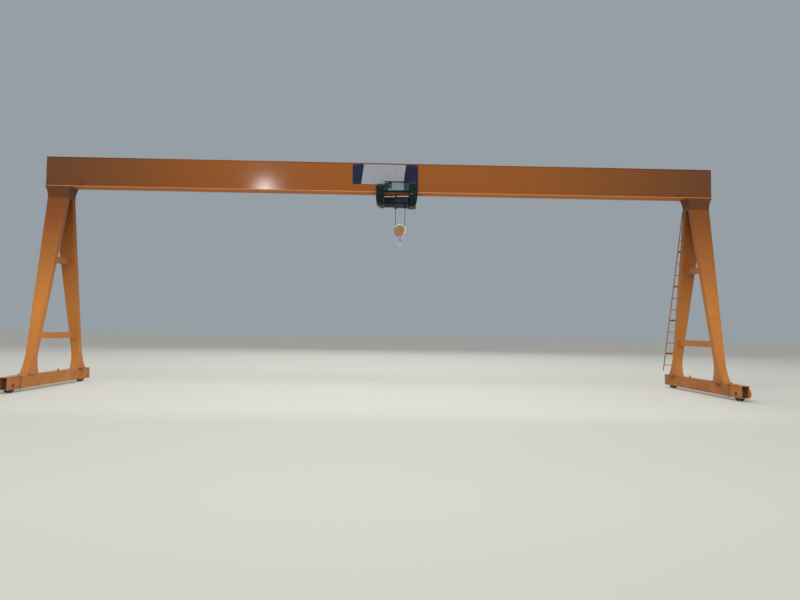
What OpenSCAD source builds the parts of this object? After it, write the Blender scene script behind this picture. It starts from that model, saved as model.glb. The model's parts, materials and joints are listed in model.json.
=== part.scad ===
// Single-girder gantry crane on two A-frames, with an underslung wire rope hoist.
// Millimetres. X runs along the girder, Y along the rails and Z up.
// The origin is on the floor, at the middle of the span and of the end carriages.

/* [Span and height] */
// Distance between the two rails
rail_span = 18000; // [12000:100:24000]
// How far the girder's flange reaches past each rail
girder_overhang = 390; // [370:5:700]
// Height of the girder's underside above the floor
girder_z = 5520; // [5000:10:7000]

/* [Girder] */
// Depth of the girder, from its lower flange to its top plate
girder_depth = 835; // [700:5:1000]
// Width of the box between the outer faces of the webs
girder_box_w = 300; // [260:5:340]
// Width of the lower flange that the hoist runs on
flange_w = 440; // [420:5:480]
// Thickness of the lower flange
flange_t = 20; // [14:1:30]
// How far the lower flange sticks out past the box at each end
flange_end = 15; // [10:5:60]
// Thickness of the webs and end plates
web_t = 8; // [6:1:12]
// Thickness of the top plate
top_t = 12; // [8:1:20]
// How far the top plate stands out past each web
top_lip = 10; // [4:1:20]
// Distance of the hoist's end stops from each rail
stop_inset = 580; // [540:10:900]
// Height of the hoist's end stops
stop_h = 90; // [60:5:120]

/* [A-frames] */
// Depth of the head under the girder, along the rails
head_d = 450; // [430:5:520]
// Height of the flared head
head_h = 330; // [250:5:450]
// How much the head flares out on each side to reach the girder
head_flare = 85; // [40:5:100]
// Width of a column at the head
col_top_w = 535; // [440:5:560]
// Width of a column at the carriage
col_foot_w = 170; // [140:2:200]
// Gap between the two columns at the head
col_gap = 150; // [120:5:180]
// Depth of a column along the rails at the carriage
col_foot_d = 204; // [160:2:240]
// Distance of a column's middle from the girder's plane at the carriage
col_foot_y = 1325; // [1200:5:1400]
// How much a foot flares towards the middle
foot_flare_in = 235; // [120:5:260]
// How much a foot flares towards the carriage's ends
foot_flare_out = 175; // [100:5:220]
// Height over which a foot flares
foot_flare_h = 615; // [400:5:800]
// Length of the base plate's tongues
tongue_len = 360; // [250:10:420]
// How far the tongues stand out past the carriage
tongue_out = 60; // [30:5:90]
// Thickness of the base plate's tongues
tongue_t = 14; // [10:1:20]
// Height of the middle of the lower tie
low_tie_z = 1390; // [1250:10:1700]
// Height of the middle of the upper tie
high_tie_z = 3470; // [3000:10:3900]
// Height of a tie
tie_h = 168; // [120:2:200]
// Width of a tie
tie_w = 120; // [80:2:130]

/* [End carriages] */
// Height of the carriage's underside above the floor
carriage_z = 85; // [60:5:95]
// Height of a carriage
carriage_h = 308; // [302:2:350]
// Width of a carriage
carriage_w = 220; // [210:2:240]
// Length of the main beam, with the girder over its middle
beam_len = 3720; // [3600:10:4200]
// Length of the wheel box bolted to the beam's front end
wheel_box_len = 540; // [520:10:800]
// Thickness of the carriage's plates
carriage_t = 12; // [8:1:14]
// How far the carriage's top and bottom plates stand out past its webs
carriage_lip = 10; // [4:1:12]
// Height of the gussets under the base plates' tongues
gusset_h = 70; // [50:5:120]
// Distance of the front axle from the joint between beam and wheel box
front_axle_in = 280; // [250:5:290]
// Distance of the rear axle from the beam's rear end
rear_axle_in = 380; // [340:5:450]
// How far the bolted joint's plates stand out
joint_lip = 10; // [5:1:20]
// Radius of the hole in a tie-down lug
lug_hole_r = 13; // [8:1:16]
// Thickness of a tie-down lug
lug_t = 20; // [12:1:30]

/* [Travel wheels] */
// Radius over a wheel's flanges
wheel_r = 186; // [170:2:188]
// Height of a wheel's flanges above its tread
wheel_lip = 15; // [10:1:20]
// Width of the tread
tread_w = 70; // [60:2:80]
// Radius of the wheels' axles
axle_r = 30; // [25:1:32]
// Half the height of the slot in a wheel box's side at the axle's end
slot_r = 38; // [36:1:45]
// Length of that slot along the rails
slot_len = 140; // [100:5:160]
// How far the left tie-down lug lies behind the girder's plane
left_lug_back = 180; // [0:10:500]
// How far the right tie-down lug lies behind the girder's plane
right_lug_back = 430; // [0:10:500]

/* [Ladder] */
// Width of the ladder
ladder_w = 400; // [300:10:450]
// Height of the ladder's lower end
ladder_z0 = 520; // [470:10:700]
// Height of the ladder's upper end
ladder_z1 = 5250; // [4500:10:5400]
// Distance of the ladder's lower end from the column
ladder_off_low = 350; // [250:10:380]
// Distance of the ladder's upper end from the column
ladder_off_high = 180; // [150:10:250]
// Spacing of the rungs
rung_pitch = 340; // [250:5:400]
// Radius of a rung
rung_r = 11; // [8:1:15]
// Depth of a stile
stile_d = 50; // [40:2:60]
// Thickness of a stile
stile_t = 10; // [6:1:14]

/* [Hoist trolley] */
// Place of the hoist along the girder
hoist_x = 384; // [-3000:1:3000]
// Length of the trolley over its end frames
trolley_len = 1160; // [1100:10:1400]
// Width of an end frame along the girder
end_w = 220; // [180:5:260]
// Height of the top of the end frames above the flange's underside
end_up = 225; // [200:5:260]
// How much higher the right end frame reaches
right_end_up = 70; // [0:5:90]
// Depth of the end frames below the flange's underside
end_down = 365; // [350:5:420]
// Thickness of the end frames' cheeks
cheek_t = 95; // [70:5:120]
// Clearance between the trolley and the flange's edges and underside
flange_gap = 15; // [10:1:20]
// Radius of the trolley wheels
trolley_wheel_r = 65; // [50:1:75]
// Depth of the control box
box_d = 200; // [150:5:260]
// Height of the control box
box_h = 258; // [220:2:320]

/* [Drum and rope] */
// Radius of the drum's barrel
drum_r = 150; // [130:1:160]
// Radius of the drum's end flanges
drum_flange_r = 188; // [180:1:190]
// Radius of the wire rope
rope_r = 8; // [6:0.5:9]
// Turns of rope on the drum
drum_turns = 21; // [10:1:21]
// Height of the drum's axis below the flange's underside
drum_down = 210; // [208:2:230]
// Radius of the ties that join the end frames
tie_rod_r = 20; // [15:1:25]

/* [Hook block] */
// Place of the hook along the girder, from the hoist's middle
hook_off = 112; // [80:1:115]
// Height of the sheave's axle below the flange's underside
sheave_down = 1040; // [1000:10:4500]
// Radius of the rope's turn round the sheave
sheave_r = 132; // [120:1:140]
// Width of the sheave's rim
sheave_w = 46; // [40:1:54]
// Thickness of the hook block's side plates
side_t = 10; // [8:1:14]
// Thickness of the guard round the sheave's rim
guard_t = 8; // [5:1:10]
// Distance of the hook's crosshead below the sheave's axle
cross_down = 232; // [225:1:260]
// Radius of the hook's shank
shank_r = 20; // [16:1:22]
// Inner radius of the hook's bowl
bowl_r = 38; // [32:1:44]
// Radius of the hook's section
hook_sec_r = 23; // [20:1:26]

/* [Clearances] */
// Radial clearance of axles and shafts in their bores
run_gap = 0.3; // [0.1:0.05:0.5]
// Clearance between pieces of two bodies that all but touch
touch_gap = 0.3; // [0.2:0.05:0.5]
// Gap left for the weld where a sloping plate's edge meets a column
fit_up = 0.2; // [0.1:0.05:0.4]

/* [Hidden] */
$fn = 64;

orange = [0.80, 0.42, 0.13];
drive_orange = [0.70, 0.35, 0.12];
hoist_green = [0.10, 0.22, 0.20];
box_teal = [0.16, 0.36, 0.38];
steel = [0.55, 0.56, 0.57];
dark_steel = [0.22, 0.22, 0.23];
rope_grey = [0.35, 0.35, 0.34];
block_tan = [0.62, 0.44, 0.26];
rubber = [0.08, 0.08, 0.08];

eps = 1;
left = -1;
right = 1;
front = -1;
rear = 1;
rail_x = rail_span / 2;
carriage_top = carriage_z + carriage_h;
carriage_len = beam_len + wheel_box_len;
frame_y = (carriage_len - beam_len) / 2;
joint_y = frame_y - beam_len / 2;
front_axle_y = joint_y - front_axle_in;
rear_axle_y = frame_y + beam_len / 2 - rear_axle_in;

flange_top = girder_z + flange_t;
web_top = girder_z + girder_depth - top_t;
flange_end_x = rail_x + girder_overhang;
box_end_x = flange_end_x - flange_end;
stop_x = rail_x - stop_inset;

neck_z = girder_z - head_h;
col_top_d = (head_d - col_gap) / 2;

web_x = carriage_w / 2 - carriage_lip;
pocket_w = 2 * (web_x - carriage_t);
pocket_len = 2 * wheel_r + 40;
pocket_top = carriage_top - carriage_t;
bearing_r = 75;
bearing_in = pocket_w / 2 - tread_w / 2 - wheel_lip - 10;

cheek_in = flange_w / 2 + flange_gap;
cheek_out = cheek_in + cheek_t;
drum_turn_r = drum_r + rope_r;
drum_y = drum_turn_r;
drum_z = girder_z - drum_down;
end_rear = drum_y + drum_flange_r + 50;
end_bottom = girder_z - end_down;
bay_lo = -trolley_len / 2 + end_w;
bay_hi = trolley_len / 2 - end_w;
shaft_r = 40;
shaft_in = 50;
guide_in_r = drum_turn_r + rope_r + 10;
guide_r = guide_in_r + 20;
guide_w = 56;
outlet_r = rope_r + 7;
tie_rod_y = -50;
tie_rod_z = drum_z - sqrt(pow(guide_r + tie_rod_r, 2) - pow(drum_y - tie_rod_y, 2));
rope_top = drum_z - 200;

live_x = hook_off - sheave_r;
dead_x = hook_off + sheave_r;
sheave_z = girder_z - sheave_down;
rim_r = sheave_r + 18;
plate_r = rim_r + 12 + guard_t;
side_in = sheave_w / 2 + 13;
strap_in = side_in + side_t;
cross_z = sheave_z - cross_down;
cross_h = 46;
nut_h = 36;
pin_r = 25;
trunnion_r = 18;
bowl_z = cross_z - cross_h / 2 - 2 * hook_sec_r - bowl_r - 38;

// Puts a piece at one rail, with its local +X pointing away from the span.
module at_side(side) {
    translate([side * rail_x, 0, 0]) mirror([side < 0 ? 1 : 0, 0, 0]) children();
}

// Puts a piece on the trolley, whose frame lies at the girder's middle plane.
module on_trolley() {
    translate([hoist_x, frame_y, 0]) children();
}

// Extrudes an outline drawn as [y, z] along X, between two values of x.
module along_x(x0, x1) {
    translate([x0, 0, 0]) rotate([90, 0, 90]) linear_extrude(x1 - x0) children();
}

// Extrudes an outline drawn as [x, z] along Y, between two values of y.
module along_y(y0, y1) {
    translate([0, y1, 0]) rotate([90, 0, 0]) linear_extrude(y1 - y0) children();
}

// A box between two corners.
module block(low, high) {
    translate(low) cube(high - low);
}

// A round bar along X.
module bar_x(x0, x1, r) {
    translate([x0, 0, 0]) rotate([0, 90, 0]) cylinder(r = r, h = x1 - x0);
}

// A round bar along Y.
module bar_y(y0, y1, r) {
    translate([0, y1, 0]) rotate([90, 0, 0]) cylinder(r = r, h = y1 - y0);
}

// Straight faces of a column at height z, measured from the girder's plane.
function slope_at(z) = (z - carriage_top) / (neck_z - carriage_top);
function col_in(z) = (col_foot_y - col_foot_d / 2) * (1 - slope_at(z)) + col_gap / 2 * slope_at(z);
function col_out(z) = (col_foot_y + col_foot_d / 2) * (1 - slope_at(z)) + head_d / 2 * slope_at(z);
function col_half(z) = (col_foot_w * (1 - slope_at(z)) + col_top_w * slope_at(z)) / 2;

// A flare is a parabola: full at t = 0 and nothing at t = 1.
function flare(size, t) = size * pow(1 - t, 2);
flare_steps = 10;

module girder_web(y0) {
    color(orange) block([-box_end_x + web_t, y0, flange_top], [box_end_x - web_t, y0 + web_t, web_top]);
}

module girder_front_web() {
    girder_web(frame_y - girder_box_w / 2);
}

module girder_rear_web() {
    girder_web(frame_y + girder_box_w / 2 - web_t);
}

module girder_top_plate() {
    half = girder_box_w / 2 + top_lip;
    color(orange) block([-box_end_x, frame_y - half, web_top], [box_end_x, frame_y + half, web_top + top_t]);
}

module girder_lower_flange() {
    half = flange_w / 2;
    color(orange)
        block([-flange_end_x, frame_y - half, girder_z], [flange_end_x, frame_y + half, flange_top]);
}

module girder_end_plates() {
    half = girder_box_w / 2;
    color(orange) for (side = [left, right])
        translate([side * (box_end_x - web_t / 2), frame_y, (flange_top + web_top) / 2])
            cube([web_t, 2 * half, web_top - flange_top], center = true);
}

// Four cleats on the flange that the trolley's wheels run up against.
module hoist_stops() {
    pad = 20;
    color(orange) for (side = [left, right], face = [front, rear])
        translate([side * stop_x, frame_y + face * (flange_w + girder_box_w) / 4, flange_top]) {
            half = (flange_w - girder_box_w) / 4;
            mirror([side < 0 ? 1 : 0, 0, 0]) {
                block([0, -half, 0], [14, half, stop_h]);
                along_y(-6, 6) polygon([[14, 0], [90, 0], [14, stop_h]]);
            }
        }
    color(rubber) for (side = [left, right], face = [front, rear])
        translate([side * stop_x, frame_y + face * (flange_w + girder_box_w) / 4, flange_top])
            mirror([side < 0 ? 1 : 0, 0, 0])
                translate([0, 0, stop_h * 0.62]) bar_x(-pad, eps, 20);
}

// The box under the girder, flared towards it.
module head(side) {
    half = col_top_w / 2;
    curve = [for (i = [0 : flare_steps]) let (t = i / flare_steps)
        [half + flare(head_flare, t), girder_z - head_h * t]];
    other = [for (i = [flare_steps : -1 : 0]) [-curve[i][0], curve[i][1]]];
    color(orange) at_side(side) translate([0, frame_y, 0])
        along_y(-head_d / 2, head_d / 2) polygon(concat(curve, other));
}

// A column tapers in width, leans away from the girder and flares out at its foot.
module column(side, face) {
    z_of = function (t) carriage_top + foot_flare_h * t;
    outer = [for (i = [0 : flare_steps]) let (t = i / flare_steps)
        [col_out(z_of(t)) + flare(foot_flare_out, t), z_of(t)]];
    inner = [for (i = [flare_steps : -1 : 0]) let (t = i / flare_steps)
        [col_in(z_of(t)) - flare(foot_flare_in, t), z_of(t)]];
    top = [[head_d / 2, neck_z], [col_gap / 2, neck_z]];
    reach = col_foot_y + col_foot_d + foot_flare_out;
    color(orange) at_side(side) translate([0, frame_y, 0]) mirror([0, face < 0 ? 1 : 0, 0]) {
        intersection() {
            along_x(-col_top_w, col_top_w) polygon(concat(outer, top, inner));
            along_y(0, reach) polygon([[-col_foot_w / 2, carriage_top], [col_foot_w / 2, carriage_top],
                [col_top_w / 2, neck_z], [-col_top_w / 2, neck_z]]);
        }
        tongues();
    }
}

// Flat tongues of the base plate, welded to both sides of the foot.
module tongues() {
    for (way = [-1, 1]) {
        inner = carriage_w / 2;
        mirror([way < 0 ? 1 : 0, 0, 0])
            block([col_half(carriage_top + tongue_t) - eps, col_foot_y - tongue_len / 2, carriage_top],
                [inner + tongue_out, col_foot_y + tongue_len / 2, carriage_top + tongue_t]);
    }
}

// A tie closes the gap between the two columns of an A-frame.
module tie(side, mid_z) {
    lo = mid_z - tie_h / 2;
    hi = mid_z + tie_h / 2;
    color(orange) at_side(side) translate([0, frame_y, 0]) along_x(-tie_w / 2, tie_w / 2)
        polygon([[fit_up - col_in(lo), lo], [col_in(lo) - fit_up, lo], [col_in(hi) - fit_up, hi],
            [fit_up - col_in(hi), hi]]);
}

// The hollow round a wheel, open downwards.
module wheel_pocket(y) {
    translate([0, y, 0])
        block([-pocket_w / 2, -pocket_len / 2, carriage_z - eps], [pocket_w / 2, pocket_len / 2, pocket_top]);
}

// Slot through both sides at an axle's height.
module axle_slot(y) {
    reach = slot_len / 2 - slot_r;
    translate([0, y, wheel_r]) {
        for (way = [-1, 1]) translate([0, way * reach, 0]) bar_x(-web_x - eps, web_x + eps, slot_r);
        block([-web_x - eps, -reach, -slot_r], [web_x + eps, reach, slot_r]);
    }
}

// The two bearing housings that carry a wheel's axle.
module bearings(y) {
    for (way = [-1, 1]) mirror([way < 0 ? 1 : 0, 0, 0]) translate([0, y, wheel_r]) difference() {
        bar_x(pocket_w / 2 - bearing_in, pocket_w / 2 + 2, bearing_r);
        bar_x(0, carriage_w, axle_r + run_gap);
    }
}

// A length of the end carriage's box section, whose top and bottom plates stand out past the webs.
module carriage_section(y0, y1) {
    block([-web_x, y0, carriage_z], [web_x, y1, carriage_top]);
    for (z = [carriage_z, carriage_top - carriage_t])
        block([-carriage_w / 2, y0, z], [carriage_w / 2, y1, z + carriage_t]);
}

// Shelves, each on a gusset, that carry the base plates' tongues.
module tongue_shelves() {
    out = carriage_w / 2 + tongue_out;
    rib_t = 16;
    for (face = [front, rear], way = [-1, 1])
        translate([0, frame_y + face * col_foot_y, 0]) mirror([way < 0 ? 1 : 0, 0, 0]) {
            block([web_x, -tongue_len / 2, carriage_top - carriage_t], [out, tongue_len / 2, carriage_top]);
            along_y(-rib_t / 2, rib_t / 2) polygon([[web_x - eps, carriage_top - carriage_t],
                [out - 6, carriage_top - carriage_t], [out - 6, carriage_top - carriage_t - 10],
                [web_x - eps, carriage_top - carriage_t - gusset_h]]);
        }
}

module carriage_lug(back) {
    w = 90;
    h = 66;
    translate([0, frame_y + back, carriage_top - eps]) difference() {
        union() {
            block([-lug_t / 2, -w / 2, 0], [lug_t / 2, w / 2, h / 2]);
            translate([0, 0, h / 2]) bar_x(-lug_t / 2, lug_t / 2, h / 2);
        }
        translate([0, 0, h / 2]) bar_x(-lug_t, lug_t, lug_hole_r);
    }
}

// One plate of the bolted joint between the beam and the wheel box.
module joint_plate(y0, y1) {
    block([-carriage_w / 2 - joint_lip, y0, carriage_z - joint_lip],
        [carriage_w / 2 + joint_lip, y1, carriage_top + joint_lip]);
}

module carriage(side) {
    color(orange) at_side(side) {
        difference() {
            union() {
                carriage_section(joint_y, frame_y + beam_len / 2);
                joint_plate(joint_y, joint_y + carriage_t);
                tongue_shelves();
                carriage_lug(side < 0 ? left_lug_back : right_lug_back);
            }
            wheel_pocket(rear_axle_y);
            translate([0, rear_axle_y, wheel_r]) bar_x(-axle_stub - 2, axle_stub + 2, axle_r + run_gap);
        }
        bearings(rear_axle_y);
    }
}

// The wheel box is open at its outer end, between its top and bottom plates.
module wheel_box(side) {
    end_y = joint_y - wheel_box_len;
    color(orange) at_side(side) {
        difference() {
            union() {
                carriage_section(end_y, joint_y);
                joint_plate(joint_y - carriage_t, joint_y);
            }
            wheel_pocket(front_axle_y);
            axle_slot(front_axle_y);
            block([-pocket_w / 2, end_y - eps, carriage_z + carriage_t],
                [pocket_w / 2, front_axle_y, pocket_top]);
        }
        bearings(front_axle_y);
    }
}

// A double-flanged wheel with its axle. The axle of a driven wheel reaches into its gear case.
module travel_wheel(side, y, outer_end) {
    tread_r = wheel_r - wheel_lip;
    half = tread_w / 2;
    full = half + wheel_lip;
    color(dark_steel) at_side(side) translate([0, y, wheel_r]) {
        rotate([0, 90, 0]) rotate_extrude($fn = 128) polygon([[0, -full], [110, -full],
            [wheel_r - 30, -full + 8], [wheel_r - 30, -full], [wheel_r, -full], [wheel_r, -half - 4],
            [tread_r, -half], [tread_r, half], [wheel_r, half + 4], [wheel_r, full],
            [wheel_r - 30, full], [wheel_r - 30, full - 8], [110, full], [0, full]]);
        bar_x(-axle_stub, outer_end, axle_r);
    }
}

axle_stub = web_x - 6;
axle_driven = web_x + 40;

// Geared motor on the outer side of a wheel box, lying along the carriage.
module travel_drive(side) {
    boss_r = 80;
    face_x = carriage_w / 2;
    motor_x = face_x + 105;
    motor_y = 150;
    motor_z = 60;
    color(drive_orange) at_side(side) translate([0, front_axle_y, wheel_r]) {
        difference() {
            union() {
                hull() {
                    bar_x(face_x, face_x + 120, 120);
                    translate([0, motor_y, motor_z]) bar_x(face_x, face_x + 120, 90);
                }
                bar_x(web_x, face_x + eps, boss_r);
            }
            bar_x(0, axle_driven + 5, axle_r + run_gap);
        }
        translate([motor_x, 0, motor_z]) {
            bar_y(motor_y + 40, motor_y + 330, 72);
            for (y = [motor_y + 110 : 22 : motor_y + 290]) bar_y(y, y + 8, 86);
            bar_y(motor_y + 330, motor_y + 385, 80);
            block([-45, motor_y + 150, 60], [45, motor_y + 250, 115]);
        }
    }
}

// Ladder behind the right rear column, on brackets from the column's rear face.
module ladder() {
    y_at = function (z) let (t = (z - ladder_z0) / (ladder_z1 - ladder_z0))
        (col_out(ladder_z0) + ladder_off_low) * (1 - t) + (col_out(ladder_z1) + ladder_off_high) * t;
    half_d = stile_d / 2;
    color(drive_orange) at_side(right) translate([0, frame_y, 0]) {
        for (way = [-1, 1]) translate([way * (ladder_w - stile_t) / 2, 0, 0])
            along_x(-stile_t / 2, stile_t / 2) polygon([[y_at(ladder_z0) - half_d, ladder_z0],
                [y_at(ladder_z0) + half_d, ladder_z0], [y_at(ladder_z1) + half_d, ladder_z1],
                [y_at(ladder_z1) - half_d, ladder_z1]]);
        for (z = [ladder_z0 + rung_pitch / 2 : rung_pitch : ladder_z1 - rung_pitch / 4])
            translate([0, y_at(z), z]) bar_x(-ladder_w / 2 + stile_t / 2, ladder_w / 2 - stile_t / 2, rung_r);
        low = carriage_top + foot_flare_h + 20;
        high = neck_z - 100;
        for (i = [0 : 4]) ladder_bracket(low + (high - low) * i / 4, y_at);
    }
}

// An arm from the column's face and a cross bar between the stiles.
module ladder_bracket(z, y_at) {
    arm_h = 50;
    arm_w = 60;
    bar_t = 8;
    along_x(-arm_w / 2, arm_w / 2) polygon([[col_out(z) + fit_up, z], [y_at(z), z],
        [y_at(z + arm_h), z + arm_h], [col_out(z + arm_h) + fit_up, z + arm_h]]);
    along_x(-ladder_w / 2 + stile_t / 2, ladder_w / 2 - stile_t / 2) polygon([[y_at(z) - bar_t, z],
        [y_at(z), z], [y_at(z + arm_h), z + arm_h], [y_at(z + arm_h) - bar_t, z + arm_h]]);
}

// An end frame is a yoke round the flange, with a foot that carries one end of the drum.
// Its outer lower corner is a quarter of an ellipse, round_w wide, that starts at height round_z.
module trolley_end(way, round_w, round_z, end_top) {
    bevel = 60;
    throat = girder_z - flange_gap - 35;
    x_in = trolley_len / 2 - end_w;
    x_out = trolley_len / 2;
    corner = [for (i = [0 : flare_steps]) let (a = 90 * i / flare_steps)
        [x_out - round_w * (1 - cos(a)), round_z - (round_z - end_bottom) * sin(a)]];
    color(hoist_green) on_trolley() mirror([way < 0 ? 1 : 0, 0, 0]) difference() {
        intersection() {
            along_x(x_in, x_out) polygon([[-cheek_out, end_top - bevel], [-cheek_out, drum_z + 120],
                [-cheek_in + 60, end_bottom], [drum_y + 110, end_bottom], [end_rear, drum_z + 60],
                [end_rear, end_top - bevel], [end_rear - bevel, end_top], [cheek_in, end_top],
                [cheek_in, throat], [-cheek_in, throat], [-cheek_in, end_top],
                [-cheek_out + bevel, end_top]]);
            along_y(-cheek_out - eps, end_rear + eps) polygon(concat(corner, [[x_in, end_bottom],
                [x_in, end_top], [x_out - bevel, end_top], [x_out, end_top - bevel]]));
        }
        translate([0, drum_y, drum_z]) bar_x(x_in - eps, x_in + shaft_in + 5, shaft_r + run_gap);
    }
}

// Two ties join the end frames. The front one carries the anchor of the rope's fixed end.
module trolley_ties() {
    rear_y = end_rear - 40;
    rear_z = girder_z - 70;
    anchor_w = 56;
    color(hoist_green) on_trolley() {
        translate([0, tie_rod_y, tie_rod_z]) bar_x(bay_lo, bay_hi, tie_rod_r);
        translate([0, rear_y, rear_z]) bar_x(bay_lo, bay_hi, tie_rod_r);
        along_x(dead_x - anchor_w / 2, dead_x + anchor_w / 2) polygon([[-92, tie_rod_z + 12],
            [-45, tie_rod_z + 12], [-30, rope_top + 98], [18, rope_top + 92], [18, rope_top + 55],
            [-92, rope_top + 55]]);
        translate([dead_x, 0, rope_top]) cylinder(r1 = rope_r + 4, r2 = rope_r + 11, h = 60);
    }
}

// Four wheels on stub axles that run on the top of the lower flange.
module trolley_wheels() {
    inner = girder_box_w / 2 + 15;
    lip = flange_w / 2 + 5;
    mid = (trolley_len - end_w) / 2;
    color(dark_steel) on_trolley() for (x = [-mid, mid], face = [front, rear])
        translate([x, 0, flange_top + trolley_wheel_r + touch_gap]) mirror([0, face < 0 ? 1 : 0, 0]) {
            bar_y(inner, lip, trolley_wheel_r);
            bar_y(lip, lip + 7, trolley_wheel_r + 10);
            bar_y(inner, cheek_in, 22);
        }
}

// Control box in front of the girder's web, between the end frames.
module control_box() {
    back = -flange_w / 2 - 20;
    lid_t = 12;
    z0 = girder_z - 10;
    color(box_teal) on_trolley() {
        block([bay_lo, back - box_d + lid_t, z0], [bay_hi, back, z0 + box_h]);
        block([bay_lo + 15, back - box_d, z0 + 15], [bay_hi - 15, back - box_d + lid_t, z0 + box_h - 15]);
        block([bay_lo, back - box_d - 14, z0 + box_h], [bay_hi, back, z0 + box_h + 8]);
    }
}

// A finned motor along X, from x0 to x1, with a fan cover at its low end.
module finned_motor(x0, x1, r) {
    cover = 50;
    bar_x(x0 + cover, x1, r - 16);
    for (x = [x0 + cover + 30 : 24 : x1 - 40]) bar_x(x, x + 8, r);
    bar_x(x0, x0 + cover, r - 4);
}

// Hoist motor and its gear case, behind the right end frame.
module hoist_drive() {
    motor_r = 112;
    case_d = 230;
    axis_y = end_rear + case_d / 2 + 10;
    axis_z = drum_z + 40;
    half_h = 150;
    bevel = 50;
    color(hoist_green) on_trolley() {
        along_x(trolley_len / 2 - end_w + 10, trolley_len / 2 - 15)
            polygon([[end_rear, axis_z - half_h], [end_rear + case_d - bevel, axis_z - half_h],
                [end_rear + case_d, axis_z - half_h + bevel], [end_rear + case_d, axis_z + half_h - bevel],
                [end_rear + case_d - bevel, axis_z + half_h], [end_rear, axis_z + half_h]]);
        translate([0, axis_y, axis_z]) finned_motor(bay_lo + 200, bay_hi + 20, motor_r);
    }
}

// Small geared motor that drives the trolley along the girder, behind the left end frame.
module trolley_drive() {
    case_d = 130;
    axis_y = end_rear + case_d / 2;
    axis_z = flange_top + trolley_wheel_r;
    color(drive_orange) on_trolley() {
        block([-trolley_len / 2 + 30, end_rear, axis_z - 90], [bay_lo - 20, end_rear + case_d, axis_z + 75]);
        translate([0, axis_y, axis_z]) mirror([1, 0, 0])
            finned_motor(-bay_lo - 260, -bay_lo + 40, 68);
    }
}

// Ring round the wound drum that leads the rope down through its outlet.
module rope_guide() {
    color(steel) on_trolley() {
        difference() {
            union() {
                translate([live_x, drum_y, drum_z]) bar_x(-guide_w / 2, guide_w / 2, guide_r);
                translate([live_x, 0, rope_top]) cylinder(r = outlet_r, h = drum_z - rope_top);
            }
            translate([live_x, drum_y, drum_z]) bar_x(-guide_w, guide_w, guide_in_r);
        }
    }
}

// The drum with its turns of rope, each turn a ring of the rope's own section.
// The turns lie to the right of the guide, and the empty grooves to its left.
module rope_drum() {
    pitch = 2 * rope_r + 1;
    gap = 5;
    flange_w_x = 12;
    groove_depth = 3;
    x0 = bay_lo + gap;
    x1 = bay_hi - gap;
    first = live_x - pitch / 2;
    turns = min(drum_turns, floor((x1 - flange_w_x - first) / pitch));
    empty = floor((first - x0 - flange_w_x) / pitch);
    color(dark_steel) on_trolley() translate([0, drum_y, drum_z]) {
        rotate([0, 90, 0]) rotate_extrude($fn = 96) difference() {
            translate([0, x0]) square([drum_r, x1 - x0]);
            for (i = [0 : empty - 1])
                translate([drum_turn_r - groove_depth, first - pitch * (i + 0.5)])
                    circle(r = rope_r, $fn = 24);
        }
        bar_x(x0, x0 + flange_w_x, drum_flange_r);
        bar_x(x1 - flange_w_x, x1, drum_flange_r);
        bar_x(bay_lo - shaft_in, bay_hi + shaft_in, shaft_r);
    }
    color(rope_grey) on_trolley() translate([0, drum_y, drum_z]) rotate([0, 90, 0])
        rotate_extrude($fn = 96) for (i = [0 : turns - 1])
            translate([drum_turn_r - 0.5, first + pitch * (i + 0.5)]) circle(r = rope_r, $fn = 24);
}

// The two vertical falls of rope, from the hoist to the sheave's sides.
module rope_falls() {
    color(rope_grey) on_trolley() for (x = [dead_x, live_x])
        translate([x, 0, sheave_z + touch_gap]) cylinder(r = rope_r, h = rope_top - sheave_z - 2 * touch_gap);
}

// Round covers of the hook block with their guard, and the straps that carry the crosshead.
module hook_side_plates() {
    strap_r = 46;
    strap_half = 38;
    color(block_tan) on_trolley() translate([hook_off, 0, sheave_z]) {
        for (way = [-1, 1]) mirror([0, way < 0 ? 1 : 0, 0]) {
            bar_y(side_in, strap_in, plate_r);
            difference() {
                along_y(strap_in, strap_in + side_t) {
                    circle(r = strap_r);
                    translate([0, -cross_down]) circle(r = strap_r);
                    translate([-strap_half, -cross_down]) square([2 * strap_half, cross_down]);
                }
                translate([0, 0, -cross_down]) bar_y(0, strap_in + 2 * side_t, trunnion_r + run_gap);
            }
        }
        bar_y(-strap_in - side_t - 14, strap_in + side_t + 14, pin_r);
        guard(52, 128);
        guard(-50, 22);
        guard(158, 230);
    }
}

// A stretch of the guard between the covers, from one angle to another.
// The rope passes between the stretches.
module guard(from, to) {
    rotate([90, 0, 0]) rotate([0, 0, from]) rotate_extrude(angle = to - from, $fn = 96)
        translate([plate_r - 2 - guard_t, -side_in - eps]) square([guard_t, 2 * (side_in + eps)]);
}

// Cross piece between the straps that the hook's shank turns in.
module hook_crosshead() {
    color(steel) on_trolley() translate([hook_off, 0, cross_z]) difference() {
        union() {
            block([-44, -strap_in, -cross_h / 2], [44, strap_in, cross_h / 2]);
            bar_y(-strap_in - side_t - 8, strap_in + side_t + 8, trunnion_r);
        }
        translate([0, 0, -cross_h]) cylinder(r = shank_r + run_gap, h = 2 * cross_h);
    }
}

// Grooved sheave that rolls on the rope.
module hook_sheave() {
    half = sheave_w / 2;
    groove = rope_r + 0.5;
    mouth = half - 5;
    color(steel) on_trolley() translate([hook_off, 0, sheave_z]) rotate([90, 0, 0])
        rotate_extrude($fn = 128) difference() {
            union() {
                translate([pin_r + run_gap, -half]) square([24, 2 * half]);
                translate([pin_r + 20, -8]) square([sheave_r - pin_r - 30, 16]);
                polygon([[sheave_r - 30, -8], [sheave_r - 14, -half], [rim_r, -half], [rim_r, half],
                    [sheave_r - 14, half], [sheave_r - 30, 8]]);
            }
            translate([sheave_r, 0]) circle(r = groove, $fn = 32);
            polygon([[sheave_r, -groove], [rim_r + eps, -mouth], [rim_r + eps, mouth], [sheave_r, groove]]);
        }
}

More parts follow.
